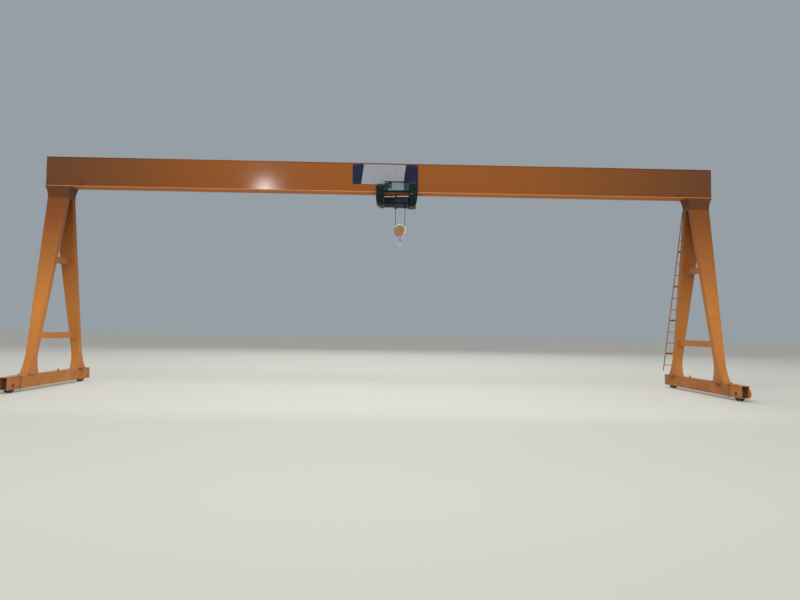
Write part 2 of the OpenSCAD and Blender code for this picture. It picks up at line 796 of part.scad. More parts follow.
// The half turn of rope under the sheave.
module rope_turn() {
    color(rope_grey) on_trolley() translate([hook_off, 0, sheave_z]) rotate([90, 0, 0])
        rotate([0, 0, 180]) rotate_extrude(angle = 180, $fn = 96)
            translate([sheave_r, 0]) circle(r = rope_r, $fn = 24);
}

// Forged hook on a shank, with the nut that hangs it on the crosshead.
module hook() {
    mid_r = bowl_r + hook_sec_r;
    tip_from = 12;
    nut_z = cross_z + cross_h / 2 + touch_gap;
    color(steel) on_trolley() translate([hook_off, 0, 0]) {
        translate([0, 0, nut_z]) cylinder(r = side_in - 3, h = nut_h, $fn = 6);
        translate([0, 0, bowl_z + mid_r]) cylinder(r = shank_r, h = nut_z + 5 - bowl_z - mid_r);
        translate([0, 0, bowl_z + mid_r + 8]) cylinder(r1 = hook_sec_r + 4, r2 = shank_r, h = 37);
        translate([0, 0, bowl_z]) rotate([90, 0, 0]) {
            rotate([0, 0, 90]) rotate_extrude(angle = 270 + tip_from, $fn = 96)
                translate([mid_r, 0]) circle(r = hook_sec_r, $fn = 48);
            rotate([0, 0, tip_from]) translate([mid_r, -3, 0]) rotate([-90, 0, -6]) {
                cylinder(r1 = hook_sec_r - 1, r2 = 9, h = 45);
                translate([0, 0, 42]) sphere(r = 11);
            }
        }
        translate([0, 0, bowl_z + mid_r]) sphere(r = hook_sec_r + 6);
    }
}

girder_front_web();
girder_rear_web();
girder_top_plate();
girder_lower_flange();
girder_end_plates();
hoist_stops();
head(left);  // left_head
head(right);  // right_head
column(left, front);  // left_front_column
column(left, rear);  // left_rear_column
column(right, front);  // right_front_column
column(right, rear);  // right_rear_column
tie(left, low_tie_z);  // left_lower_tie
tie(left, high_tie_z);  // left_upper_tie
tie(right, low_tie_z);  // right_lower_tie
tie(right, high_tie_z);  // right_upper_tie
carriage(left);  // left_carriage
carriage(right);  // right_carriage
wheel_box(left);  // left_wheel_box
wheel_box(right);  // right_wheel_box
travel_drive(left);  // left_drive
travel_drive(right);  // right_drive
travel_wheel(left, front_axle_y, axle_driven);  // left_front_wheel
travel_wheel(left, rear_axle_y, axle_stub);  // left_rear_wheel
travel_wheel(right, front_axle_y, axle_driven);  // right_front_wheel
travel_wheel(right, rear_axle_y, axle_stub);  // right_rear_wheel
ladder();
trolley_end(left, 205, end_bottom + 190, girder_z + end_up);  // trolley_left_end
trolley_end(right, 80, end_bottom + 275,  // trolley_right_end
    girder_z + end_up + right_end_up);
trolley_ties();
trolley_wheels();
control_box();
hoist_drive();
trolley_drive();
rope_guide();
rope_drum();
rope_falls();
hook_side_plates();
hook_crosshead();
hook_sheave();
rope_turn();
hook();
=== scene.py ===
import json
import math

import bmesh
import bpy
import numpy as np
from mathutils import Matrix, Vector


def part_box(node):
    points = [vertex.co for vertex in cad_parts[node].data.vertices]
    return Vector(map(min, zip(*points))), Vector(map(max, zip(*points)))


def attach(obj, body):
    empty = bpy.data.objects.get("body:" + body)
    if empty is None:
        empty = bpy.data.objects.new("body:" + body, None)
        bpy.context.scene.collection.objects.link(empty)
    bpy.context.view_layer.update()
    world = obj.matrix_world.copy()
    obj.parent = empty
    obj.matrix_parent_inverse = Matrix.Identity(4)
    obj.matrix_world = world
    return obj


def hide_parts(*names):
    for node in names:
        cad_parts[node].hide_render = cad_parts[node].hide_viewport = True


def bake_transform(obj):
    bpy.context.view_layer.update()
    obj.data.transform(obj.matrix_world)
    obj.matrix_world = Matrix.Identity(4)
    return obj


print("loading the frame")
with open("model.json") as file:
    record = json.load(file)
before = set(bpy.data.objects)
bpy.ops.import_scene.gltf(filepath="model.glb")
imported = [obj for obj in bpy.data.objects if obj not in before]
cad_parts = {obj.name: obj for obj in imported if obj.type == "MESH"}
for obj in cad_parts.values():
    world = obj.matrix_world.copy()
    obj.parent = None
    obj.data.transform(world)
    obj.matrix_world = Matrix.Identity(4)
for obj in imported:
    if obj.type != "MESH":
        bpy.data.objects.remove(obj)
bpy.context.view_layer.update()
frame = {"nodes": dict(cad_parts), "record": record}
nodes = frame["nodes"]
sides = {"left": -1, "right": 1}
sunk = 0.0005  # metres by which a fitting is set into the face under it


# Shapes: each is a set of points, an array of quads and a list of flat faces with more corners.

def arrays(*values):
    # each value as an array of floats
    return [np.asarray(value, float) for value in values]


def unit(vectors):
    # each row divided by its length
    return vectors / np.linalg.norm(vectors, axis=1, keepdims=True)


def gridQuads(rows, columns, closeRows, closeColumns):
    # corner numbers of the quads between neighbouring lines of a grid; a closed way joins last line to first
    row, column = np.meshgrid(np.arange(rows if closeRows else rows - 1),
                              np.arange(columns if closeColumns else columns - 1), indexing="ij")
    nextRow, nextColumn = (row + 1) % rows, (column + 1) % columns
    quads = np.stack([row * columns + column, row * columns + nextColumn,
                      nextRow * columns + nextColumn, nextRow * columns + column], axis=-1)
    return quads.reshape(-1, 4)


def gridShape(points, closeRows=False, closeColumns=True):
    # a grid of points (rows, columns, 3) as a surface, with a flat face on each open end row
    rows, columns = points.shape[:2]
    caps = [] if closeRows else [np.arange(columns)[::-1], np.arange(columns) + (rows - 1) * columns]
    return points.reshape(-1, 3), gridQuads(rows, columns, closeRows, closeColumns), caps


def joinShapes(shapes):
    # all shapes in one, each one's corner numbers moved on by the points before it
    starts = np.cumsum([0] + [len(points) for points, _, _ in shapes])
    points = np.concatenate([points for points, _, _ in shapes])
    quads = np.concatenate([quads + start for (_, quads, _), start in zip(shapes, starts)])
    caps = [cap + start for (_, _, shapeCaps), start in zip(shapes, starts) for cap in shapeCaps]
    return points, quads, caps


def repeated(shape, places):
    # the same shape at each of the places
    places = np.asarray(places, float).reshape(-1, 3)
    return joinShapes([(shape[0] + place, shape[1], shape[2]) for place in places])


def crossAxes(axis):
    # two unit directions at right angles to an axis and to each other
    axis = np.asarray(axis, float) / np.linalg.norm(axis)
    helper = np.array([0, 0, 1.0]) if abs(axis[2]) < 0.9 else np.array([0, 1.0, 0])
    side = np.cross(helper, axis)
    side /= np.linalg.norm(side)
    return axis, side, np.cross(axis, side)


def ringRound(axis, count):
    # the axis made one long, and points round it: cos a * side + sin a * up
    axis, side, up = crossAxes(axis)
    angle = np.arange(count)[:, None] * 2 * math.pi / count
    return axis, np.cos(angle) * side + np.sin(angle) * up


def turned(profile, centre, axis, segments=32):
    # surface of revolution: centre + distance * axis + radius * ring, for each [distance, radius]
    axis, ring = ringRound(axis, segments)
    profile, centre = arrays(profile, centre)
    return gridShape(centre + profile[:, 0, None, None] * axis + profile[:, 1, None, None] * ring)


def alongPath(path, profile, up, closed=False, sizes=1.0, turn=0.0):
    # profile carried along a path: path + x * side + y * lift, where side is at right angles to the path
    # and to up, and the profile is scaled by sizes and turned by the angles in turn
    path, profile, up = arrays(path, profile, up)
    if closed:
        tangent = unit(np.roll(path, -1, axis=0) - np.roll(path, 1, axis=0))
    else:
        tangent = unit(np.gradient(path, axis=0))
    side = unit(np.cross(tangent, up))
    lift = np.cross(side, tangent)
    sizes = np.broadcast_to(sizes, len(path))[:, None]
    turn = np.broadcast_to(turn, len(path))[:, None]
    x = (profile[:, 0] * np.cos(turn) - profile[:, 1] * np.sin(turn)) * sizes
    y = (profile[:, 0] * np.sin(turn) + profile[:, 1] * np.cos(turn)) * sizes
    points = path[:, None] + x[:, :, None] * side[:, None] + y[:, :, None] * lift[:, None]
    return gridShape(points, closeRows=closed)


def chamferedBlock(low, high, chamfer):
    # a box whose edges are cut off: a rectangle with cut corners, drawn in at both ends
    low, high = arrays(low, high)
    c = chamfer
    rings = []
    for z, cut in ((low[2], c), (low[2] + c, 0.0), (high[2] - c, 0.0), (high[2], c)):
        (x0, y0), (x1, y1) = low[:2] + cut, high[:2] - cut
        rings.append([[x0 + c, y0, z], [x1 - c, y0, z], [x1, y0 + c, z], [x1, y1 - c, z],
                      [x1 - c, y1, z], [x0 + c, y1, z], [x0, y1 - c, z], [x0, y0 + c, z]])
    return gridShape(np.array(rings))


def hexBolt(across, height, axis):
    # a hexagonal head with a drawn-in top on a round washer, at the origin
    radius, washer = across / math.sqrt(3), across * 0.08
    head = [[washer, radius], [height * 0.85, radius], [height, radius * 0.86]]
    return joinShapes([turned([[0, across * 0.62], [washer, across * 0.62]], (0, 0, 0), axis, 14),
                       turned(head, (0, 0, 0), axis, 6)])


def stepsAlong(start, end, step):
    # distances along a straight line, three or more, and the points there
    length = np.linalg.norm(end - start)
    along = np.linspace(0, length, max(3, int(length / step)))
    return along, start + (end - start) * (along / length)[:, None]


def weldBead(start, end, faceA, faceB, size):
    # quarter-round bead along a corner: corner + rippling radius * (cos t * faceA + sin t * faceB)
    start, end, faceA, faceB = arrays(start, end, faceA, faceB)
    along, line = stepsAlong(start, end, 0.045)
    radius = size * (1 + 0.16 * np.sin(along * 61.0) + 0.10 * np.sin(along * 23.0 + 1.3))
    angle = np.radians([0, 30, 60, 90])[:, None]
    arc = np.cos(angle) * faceA + np.sin(angle) * faceB
    root = line - 2 * sunk * (faceA + faceB)
    return gridShape(np.concatenate([line[:, None] + radius[:, None, None] * arc, root[:, None]], axis=1))


def buttWeld(start, end, across, out, width):
    # low half-ellipse of weld over a butt joint, with scallops along it
    start, end, across, out = arrays(start, end, across, out)
    along, line = stepsAlong(start, end, 0.02)
    grow = 1 + 0.12 * np.sin(along * 150.0)
    angle = np.linspace(0, math.pi, 7)[:, None]
    arc = np.cos(angle) * across * width / 2 + (np.sin(angle) * width * 0.22 - sunk) * out
    return gridShape(line[:, None] + grow[:, None, None] * arc)


def arcPoints(radius, start, end, count):
    # points in a plane at one radius, between two angles in degrees
    angle = np.radians(np.linspace(start, end, count))
    return np.stack([np.cos(angle), np.sin(angle)], axis=1) * radius


def newObject(name, data):
    # an object of the scene
    made = bpy.data.objects.new(name, data)
    bpy.context.scene.collection.objects.link(made)
    return made


def addPiece(name, shapes, material, body, smooth=40.0, replaces=()):
    # one mesh object from shapes, closed and facing outwards, that rides on a CAD body when one is given
    points, quads, caps = joinShapes(shapes if isinstance(shapes, list) else [shapes])
    mesh = bpy.data.meshes.new(name)
    mesh.from_pydata(points.tolist(), [], quads.tolist() + [cap.tolist() for cap in caps])
    shell = bmesh.new()
    shell.from_mesh(mesh)
    bmesh.ops.recalc_face_normals(shell, faces=shell.faces)
    shell.to_mesh(mesh)
    shell.free()
    mesh.polygons.foreach_set("use_smooth", [True] * len(mesh.polygons))
    mesh.set_sharp_from_angle(angle=math.radians(smooth))
    mesh.materials.append(material)
    piece = newObject(name, mesh)
    if body:
        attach(piece, body)
    if replaces:
        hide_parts(*replaces)
    return piece


# Materials

def setInputs(tree, node, inputs):
    # an input is linked to a socket, or set to a value
    for key, value in inputs.items():
        if isinstance(value, bpy.types.NodeSocket):
            tree.links.new(value, node.inputs[key])
        else:
            node.inputs[key].default_value = value


def addNode(tree, kind, inputs=None, **settings):
    # a shader node with its settings and inputs
    node = tree.nodes.new("ShaderNode" + kind)
    for key, value in settings.items():
        setattr(node, key, value)
    setInputs(tree, node, inputs or {})
    return node


def newMaterial(name):
    # an empty material with its shader and output
    material = bpy.data.materials.new(name)
    material.use_nodes = True
    tree = material.node_tree
    tree.nodes.clear()
    shader = addNode(tree, "BsdfPrincipled", {"Specular IOR Level": 0.35})
    output = addNode(tree, "OutputMaterial", {"Surface": shader.outputs[0]})
    return material, tree, shader, output


def colourOf(red, green, blue):
    # display values from 0 to 255 as the linear colour that the shader takes
    value = np.array([red, green, blue]) / 255
    linear = np.where(value <= 0.04045, value / 12.92, ((value + 0.055) / 1.055) ** 2.4)
    return (*linear.tolist(), 1.0)


def noiseOf(tree, place, scale, detail=3, stretch=None):
    # fractal noise at a number of patches a metre, drawn out along an axis by stretch
    if stretch:
        place = addNode(tree, "Mapping", {"Vector": place, "Scale": stretch}).outputs[0]
    return addNode(tree, "TexNoise", {"Vector": place, "Scale": scale, "Detail": detail}).outputs["Fac"]


def spread(tree, value, low, high, toLow=0.0, toHigh=1.0):
    # a range of a value widened to another one, and cut off outside it
    return addNode(tree, "MapRange", {"Value": value, "From Min": low, "From Max": high,
                                      "To Min": toLow, "To Max": toHigh}).outputs[0]


def combine(tree, operation, a, b):
    # one value from two: a operation b
    return addNode(tree, "Math", {0: a, 1: b}, operation=operation).outputs[0]


def multiply(tree, a, b):
    # a * b
    return combine(tree, "MULTIPLY", a, b)


def layered(tree, look, layers):
    # the look's own colour with its other tones laid over it in turn, each by its share
    colour = look["colour"]
    for share, tone in layers:
        colour = addNode(tree, "MixRGB", {"Fac": share, "Color1": colour, "Color2": look[tone]}).outputs[0]
    return colour


def bumpOf(tree, height, distance, strength=1.0, before=None):
    # a normal tilted by the slope of height * distance, on top of another one
    inputs = {"Height": height, "Distance": distance, "Strength": strength}
    if before:
        inputs["Normal"] = before
    return addNode(tree, "Bump", inputs).outputs[0]


def paintedSteel(name, look):
    # sprayed paint: broad patches and fine mottling shift the colour, faint runs hang down, a high tone comes
    # in with height as painted shade that darkens the upper parts, an upper tone above a line, an ends tone
    # away from the crane's middle as painted shade that darkens the ends, grime climbs from the floor, bare
    # scuffs show where a fine noise is highest, and dust lies on faces that look up
    material, tree, shader, _ = newMaterial(name)
    place = addNode(tree, "TexCoord").outputs["Object"]
    split = addNode(tree, "SeparateXYZ", {0: place})
    height = split.outputs["Z"]
    patches = spread(tree, noiseOf(tree, place, look["patches"], 2), 0.3, 0.7)
    mottle = spread(tree, noiseOf(tree, place, look["mottle"], 5), 0.35, 0.65)
    runs = spread(tree, noiseOf(tree, place, 5.0, 3, (2.2, 2.2, 0.12)), 0.42, 0.72)
    layers = [(patches, "deeper"), (multiply(tree, mottle, 0.35), "paler"),
              (multiply(tree, runs, look["runs"]), "grime")]
    # the high tone is painted shade: the colour darkens with height
    if "high" in look:
        climb = combine(tree, "ADD", height, multiply(tree, noiseOf(tree, place, 1.5, 3), 0.6))
        layers.append((spread(tree, climb, 2.6, 5.3), "high"))
    if "upper" in look:
        line = look["upperFrom"]
        layers.append((spread(tree, height, line, line + 0.003), "upper"))
    # the ends tone is painted shade: the colour darkens away from the crane's middle
    if "ends" in look:
        away = combine(tree, "ABSOLUTE", split.outputs["X"], 0.0)
        away = combine(tree, "ADD", away, multiply(tree, patches, 0.8))
        layers.append((spread(tree, away, 5.0, 9.6), "ends"))
    low = spread(tree, height, look["grimeTop"], 0.0)
    dirt = multiply(tree, low, spread(tree, noiseOf(tree, place, 3.0, 6), 0.38, 0.62))
    scuff = spread(tree, noiseOf(tree, place, 9.0, 8), look["scuffs"], look["scuffs"] + 0.02)
    facing = addNode(tree, "SeparateXYZ", {0: addNode(tree, "NewGeometry").outputs["Normal"]}).outputs["Z"]
    film = spread(tree, noiseOf(tree, place, 2.0, 5), 0.25, 0.7, 0.35, 0.85)
    dust = multiply(tree, spread(tree, facing, 0.55, 0.95), film)
    layers += [(multiply(tree, dirt, 0.55), "grime"), (scuff, "bare"), (dust, "dust")]
    rough = spread(tree, mottle, 0.0, 1.0, look["roughness"], look["roughness"] * 1.3)
    rough = combine(tree, "ADD", rough, multiply(tree, combine(tree, "ADD", dust, dirt), 0.3))
    wave = bumpOf(tree, noiseOf(tree, place, look["waves"], 1), look["waveDepth"])
    peel = bumpOf(tree, noiseOf(tree, place, 90.0, 2), look["peel"], 0.5, wave)
    setInputs(tree, shader, {"Base Color": layered(tree, look, layers), "Normal": peel,
                             "Specular IOR Level": look["specular"],
                             "Roughness": combine(tree, "MINIMUM", rough, 0.95)})
    return material


def bareSteel(name, look):
    # machined or worn steel: brushed streaks, grease in patches, a little rust where a noise is highest
    material, tree, shader, _ = newMaterial(name)
    place = addNode(tree, "TexCoord").outputs["Object"]
    streaks = noiseOf(tree, place, look["streaks"], 3, look["stretch"])
    patches = spread(tree, noiseOf(tree, place, look["patches"], 5), 0.35, 0.7)
    speckle = noiseOf(tree, place, look["patches"] * 2.3, 7)
    layers = [(spread(tree, streaks, 0.3, 0.7), "paler"), (multiply(tree, patches, look["greasy"]), "grease"),
              (spread(tree, speckle, look["rustFrom"], look["rustFrom"] + 0.08), "rust")]
    rough = spread(tree, patches, 0.0, 1.0, look["roughness"], look["roughness"] + 0.25)
    setInputs(tree, shader, {"Base Color": layered(tree, look, layers), "Metallic": look["metallic"],
                             "Roughness": rough, "Normal": bumpOf(tree, streaks, 0.0006, 0.6)})
    return material


def darkSpeckled(name, look):
    # a rough, near-black surface with pale specks, used for the painted shade on the control box's lid
    material, tree, shader, _ = newMaterial(name)
    speck = noiseOf(tree, addNode(tree, "TexCoord").outputs["Object"], 60.0, 4)
    colour = layered(tree, look, [(spread(tree, speck, 0.4, 0.8), "paler")])
    relief = bumpOf(tree, speck, 0.001, 0.5)
    setInputs(tree, shader, {"Base Color": colour, "Roughness": 0.75, "Normal": relief})
    return material


def printedSheet(name, look):
    # smooth printed sheet: even colour with faint handling marks and drawn-out runs of dirt
    material, tree, shader, _ = newMaterial(name)
    place = addNode(tree, "TexCoord").outputs["Object"]
    marks = spread(tree, noiseOf(tree, place, 7.0, 6), 0.45, 0.75)
    runs = spread(tree, noiseOf(tree, place, 8.0, 3, (3.0, 1.0, 0.25)), 0.45, 0.8)
    share = multiply(tree, combine(tree, "ADD", marks, runs), look["soiled"])
    rough = spread(tree, marks, 0.0, 1.0, look["roughness"], look["roughness"] + 0.25)
    setInputs(tree, shader, {"Base Color": layered(tree, look, [(share, "soil")]), "Roughness": rough,
                             "Normal": bumpOf(tree, noiseOf(tree, place, 1.6, 1), 0.004)})
    return material


print("materials")
tones = "colour deeper paler high upper ends grime bare dust grease rust soil".split()


def lookOf(base, **changes):
    # a look with some values changed; its tones are given as display colours from 0 to 255
    linear = {key: colourOf(*value) if key in tones else value for key, value in changes.items()}
    return {**base, **linear}


# the high tone is painted shade: the legs' orange darkens towards the girder
orangeLook = lookOf({}, colour=(190, 120, 52), deeper=(180, 108, 44), paler=(198, 132, 66),
                    high=(126, 70, 30), grime=(122, 84, 50), bare=(104, 62, 38), dust=(192, 146, 96),
                    patches=0.45, mottle=6.0, runs=0.10, grimeTop=0.6, scuffs=0.74, roughness=0.34,
                    specular=0.28, waves=0.9, waveDepth=0.006, peel=0.0005)
# the girder's colours are the orange paint darkened as painted shade
girderLook = lookOf(orangeLook, colour=(134, 77, 29), deeper=(124, 69, 24), paler=(146, 88, 39),
                    high=(134, 77, 29), grime=(92, 58, 34), dust=(156, 110, 70), roughness=0.11,
                    specular=0.3, waveDepth=0.002, peel=0.00005)
greenLook = lookOf({}, colour=(17, 31, 27), deeper=(13, 25, 22), paler=(28, 43, 38), grime=(24, 26, 24),
                   bare=(92, 92, 88), dust=(64, 68, 60), patches=2.5, mottle=18.0, runs=0.25, grimeTop=0.1,
                   scuffs=0.74, roughness=0.36, specular=0.15, waves=9.0, waveDepth=0.0008, peel=0.0005)
tanLook = lookOf(greenLook, colour=(160, 126, 92), deeper=(142, 106, 74), paler=(176, 146, 112),
                 grime=(92, 74, 56), dust=(172, 160, 142), runs=0.4)
steelLook = lookOf({}, colour=(150, 150, 148), paler=(186, 186, 184), grease=(58, 54, 48), rust=(112, 72, 46),
                   streaks=40.0, stretch=(1.0, 1.0, 0.15), patches=6.0, greasy=0.35, rustFrom=0.66,
                   metallic=0.85, roughness=0.34)
orangePaint = paintedSteel("orange paint", orangeLook)
# girder paint: its ends tone is painted shade that darkens the girder towards both ends
girderShadePaint = paintedSteel("girder paint with painted shade", lookOf(girderLook, ends=(106, 65, 35)))
# head paint: the girder paint darkened further, as painted shade on the heads under the girder
headShadePaint = paintedSteel("head paint with painted shade", lookOf(
    girderLook, colour=(99, 58, 30), deeper=(90, 51, 26), paler=(110, 68, 38), high=(97, 57, 30),
    roughness=0.45))
# flange paint: a paler, duller copy of the girder paint, as painted light from the floor on the lower flange
flangeLitPaint = paintedSteel("flange paint with painted light", lookOf(
    girderLook, colour=(196, 120, 58), deeper=(184, 108, 50), paler=(206, 134, 72), high=(196, 120, 58),
    roughness=0.5, specular=0.15))
# dark paint for the bands at the carriages' joints and round the base plate tongues; round the tongues it is
# painted shade
darkSeamAndShadePaint = paintedSteel("dark seam and shade paint", lookOf(
    orangeLook, colour=(66, 38, 26), deeper=(54, 31, 22), paler=(84, 50, 34), high=(66, 38, 26)))
# the high tone is painted shade on the travel motor covers up on the trolley
drivePaint = paintedSteel("drive paint", lookOf(
    orangeLook, colour=(178, 100, 44), deeper=(160, 84, 36), paler=(190, 114, 58), high=(150, 84, 38),
    patches=2.0, mottle=14.0, roughness=0.40, waves=6.0, waveDepth=0.001))
greenPaint = paintedSteel("hoist paint", greenLook)
tealPaint = paintedSteel("control box paint", lookOf(
    greenLook, colour=(18, 43, 48), deeper=(14, 36, 41), paler=(28, 54, 57)))
tanPaint = paintedSteel("hook block paint", tanLook)
strapPaint = paintedSteel("block strap paint", lookOf(
    tanLook, colour=(150, 151, 150), deeper=(132, 132, 130), paler=(168, 168, 166), upper=(146, 116, 86),
    upperFrom=4.312))
creamPaint = paintedSteel("cream paint", lookOf(
    tanLook, colour=(206, 200, 180), deeper=(190, 182, 160), paler=(218, 214, 198), runs=0.25))
brightSteel = bareSteel("bright steel", steelLook)
wheelSteel = bareSteel("wheel steel", lookOf(
    steelLook, colour=(74, 72, 70), paler=(104, 102, 98), greasy=0.7, metallic=0.6, roughness=0.45))
drumSteel = bareSteel("drum steel", lookOf(
    steelLook, colour=(42, 45, 46), paler=(62, 66, 70), greasy=0.5, metallic=0.5, roughness=0.4,
    rustFrom=0.8))
ropeSteel = bareSteel("greased rope", lookOf(
    steelLook, colour=(92, 90, 84), paler=(128, 126, 120), greasy=0.6, patches=14.0, metallic=0.7,
    roughness=0.42, rustFrom=0.8))
boltSteel = bareSteel("zinc bolts", lookOf(
    steelLook, colour=(150, 148, 138), paler=(176, 174, 164), patches=20.0, greasy=0.3, rustFrom=0.7))
woundSteel = bareSteel("wound rope", lookOf(
    steelLook, colour=(62, 70, 80), paler=(96, 106, 118), patches=9.0, metallic=0.35, roughness=0.38,
    rustFrom=0.85))
guideSteel = bareSteel("guide steel", lookOf(
    steelLook, colour=(52, 56, 52), paler=(76, 80, 74), patches=12.0, greasy=0.5, metallic=0.3, roughness=0.5,
    rustFrom=0.8))
forgedSteel = bareSteel("forged hook", lookOf(
    steelLook, colour=(172, 174, 173), paler=(204, 205, 203), patches=12.0, greasy=0.2, metallic=0.3,
    roughness=0.38, rustFrom=0.72))
# near-black strip on the control box lid's front edge: painted shade under the lid's overhang
lidShadeDark = darkSpeckled("lid painted shade", lookOf({}, colour=(34, 33, 32), paler=(70, 68, 64)))
signWhite = printedSheet("sign white", lookOf(
    {}, colour=(138, 140, 146), soil=(104, 105, 106), soiled=0.22, roughness=0.28))
signBlue = printedSheet("sign blue", lookOf(
    {}, colour=(15, 18, 50), soil=(40, 46, 70), soiled=0.25, roughness=0.28))
panelGreen = printedSheet("panel green", lookOf(
    {}, colour=(28, 60, 52), soil=(24, 40, 36), soiled=0.3, roughness=0.3))
plateGrey = printedSheet("label plate", lookOf(
    {}, colour=(112, 118, 126), soil=(84, 88, 92), soiled=0.3, roughness=0.32))

slotPaints = {
    "orange_paint": orangePaint, "drive_paint": drivePaint, "hoist_paint": greenPaint, "box_paint": tealPaint,
    "block_paint": tanPaint, "wheel_steel": wheelSteel, "bright_steel": brightSteel, "wire_rope": ropeSteel,
}
nodePaints = {
    "left_head": headShadePaint, "right_head": headShadePaint, "girder_lower_flange": flangeLitPaint,
    "hoist_stops": girderShadePaint, "rope_guide": guideSteel, "hook_crosshead": forgedSteel,
}
for part in frame["record"]["subparts"]:
    usual = girderShadePaint if part["node"].startswith("girder") else slotPaints[part["material_slot"]]
    nodeMesh = nodes[part["node"]].data
    nodeMesh.materials.clear()
    nodeMesh.materials.append(nodePaints.get(part["node"], usual))


# Places read from the frame

def midOf(node):
    # middle of a CAD node's box: (low + high) / 2
    low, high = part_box(node)
    return np.array((low + high) / 2)


flangeLow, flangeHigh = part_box("girder_lower_flange")
webLow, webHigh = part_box("girder_front_web")
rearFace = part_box("girder_rear_web")[1].y
frameY = (flangeLow.y + flangeHigh.y) / 2
railX = float(midOf("right_carriage")[0])
carriageTop = float(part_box("right_wheel_box")[1].z) - 0.010


print("welds")
structureWelds = {"girder": 0.007, "girderTop": 0.005, "feet": 0.008, "ties": 0.0064, "buttWidth": 0.016,
                  "webJoints": (-6.6, -3.83, 3.83, 6.6), "footHalf": 0.0885, "tieSlope": 0.24}


def girderWelds(sizes):
    # beads along both webs' edges and under the end plates, and butt welds across the webs
    shapes = []
    for y, out in ((webLow.y, -1), (rearFace, 1)):
        for z, up, size in ((webLow.z, 1, sizes["girder"]), (webHigh.z, -1, sizes["girderTop"])):
            shapes.append(weldBead((webLow.x, y, z), (webHigh.x, y, z), (0, out, 0), (0, 0, up), size))
        for x in sizes["webJoints"]:
            bottom, top = (x, y, webLow.z + 0.008), (x, y, webHigh.z - 0.006)
            shapes.append(buttWeld(bottom, top, (1, 0, 0), (0, out, 0), sizes["buttWidth"]))
    endLow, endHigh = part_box("girder_end_plates")
    for x, out in ((endLow.x, -1), (endHigh.x, 1)):
        front, rear = (x, webLow.y, webLow.z), (x, rearFace, webLow.z)
        shapes.append(weldBead(front, rear, (out, 0, 0), (0, 0, 1), sizes["girder"]))
    return shapes


def ringBead(corners, normal, size):
    # a bead laid as a closed loop through corners on a flat face: half-round profile carried along the loop
    corners = np.asarray(corners, float)
    steps = np.linspace(0, 1, 9)[:-1, None]
    loop = np.concatenate([a + (b - a) * steps for a, b in zip(corners, np.roll(corners, -1, axis=0))])
    grow = 1 + 0.12 * np.sin(np.arange(len(loop)) * 2.4)
    return alongPath(loop, arcPoints(size, 0, 300, 6), normal, closed=True, sizes=grow)


def footWelds(sizes):
    # a bead round each column's foot, whose corners are read from its mesh, and round both ends of each tie
    shapes = []
    z = carriageTop + 0.001
    for sideName, side in sides.items():
        for face in ("front", "rear"):
            vertices = nodes[f"{sideName}_{face}_column"].data.vertices
            points = np.empty(len(vertices) * 3, np.float32)
            vertices.foreach_get("co", points)
            points = points.reshape(-1, 3)
            foot = points[points[:, 2] < carriageTop + 0.0005]
            inner = foot[np.abs(foot[:, 0] - side * railX) < sizes["footHalf"]]
            (x0, y0), (x1, y1) = inner.min(0)[:2], inner.max(0)[:2]
            corners = [(x0, y0, z), (x1, y0, z), (x1, y1, z), (x0, y1, z)]
            shapes.append(ringBead(corners, (0, 0, 1), sizes["feet"]))
        for tie in ("lower", "upper"):
            low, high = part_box(f"{sideName}_{tie}_tie")
            for y, way in ((low.y, 1), (high.y, -1)):
                top = y + way * sizes["tieSlope"] * (high.z - low.z)
                corners = [(low.x, y, low.z), (high.x, y, low.z), (high.x, top, high.z), (low.x, top, high.z)]
                shapes.append(ringBead(corners, (0, 1, 0), sizes["ties"]))
    return shapes


addPiece("girder_welds", girderWelds(structureWelds), girderShadePaint, "root")
addPiece("foot_and_tie_welds", footWelds(structureWelds), orangePaint, "root")


print("sign board")
signBoard = {"left": -0.864, "right": 0.986, "low": 5.751, "high": 6.318, "leftJoint": -0.545,
             "rightJoint": 0.637, "slant": 0.075, "thick": 0.003, "standOff": 0.006, "railInset": 0.025}


def signPanel(leftLow, leftHigh, rightLow, rightHigh, sizes):
    # a flat panel between two edges that may slant, with a faint belly: depth * sin along X * sin along Z
    u, v = np.meshgrid(np.linspace(0, 1, 25), np.linspace(0, 1, 13), indexing="ij")
    left = leftLow + (leftHigh - leftLow) * v
    right = rightLow + (rightHigh - rightLow) * v
    x = left + (right - left) * u
    z = sizes["low"] + (sizes["high"] - sizes["low"]) * v
    belly = 0.0015 * np.sin((x - sizes["left"]) * 9.0) * np.sin((z - sizes["low"]) * 7.0)
    back = webLow.y - sizes["standOff"]
    outer = np.stack([x, back - sizes["thick"] + belly * 0.5, z], axis=-1)
    inner = np.stack([x, np.full_like(x, back), z], axis=-1)
    sheet = np.concatenate([outer, inner[::-1]], axis=0)
    points, quads, _ = gridShape(sheet, closeRows=True, closeColumns=False)
    rows, columns = sheet.shape[:2]
    lower = np.arange(rows) * columns
    return points, quads, [lower, (lower + columns - 1)[::-1]]


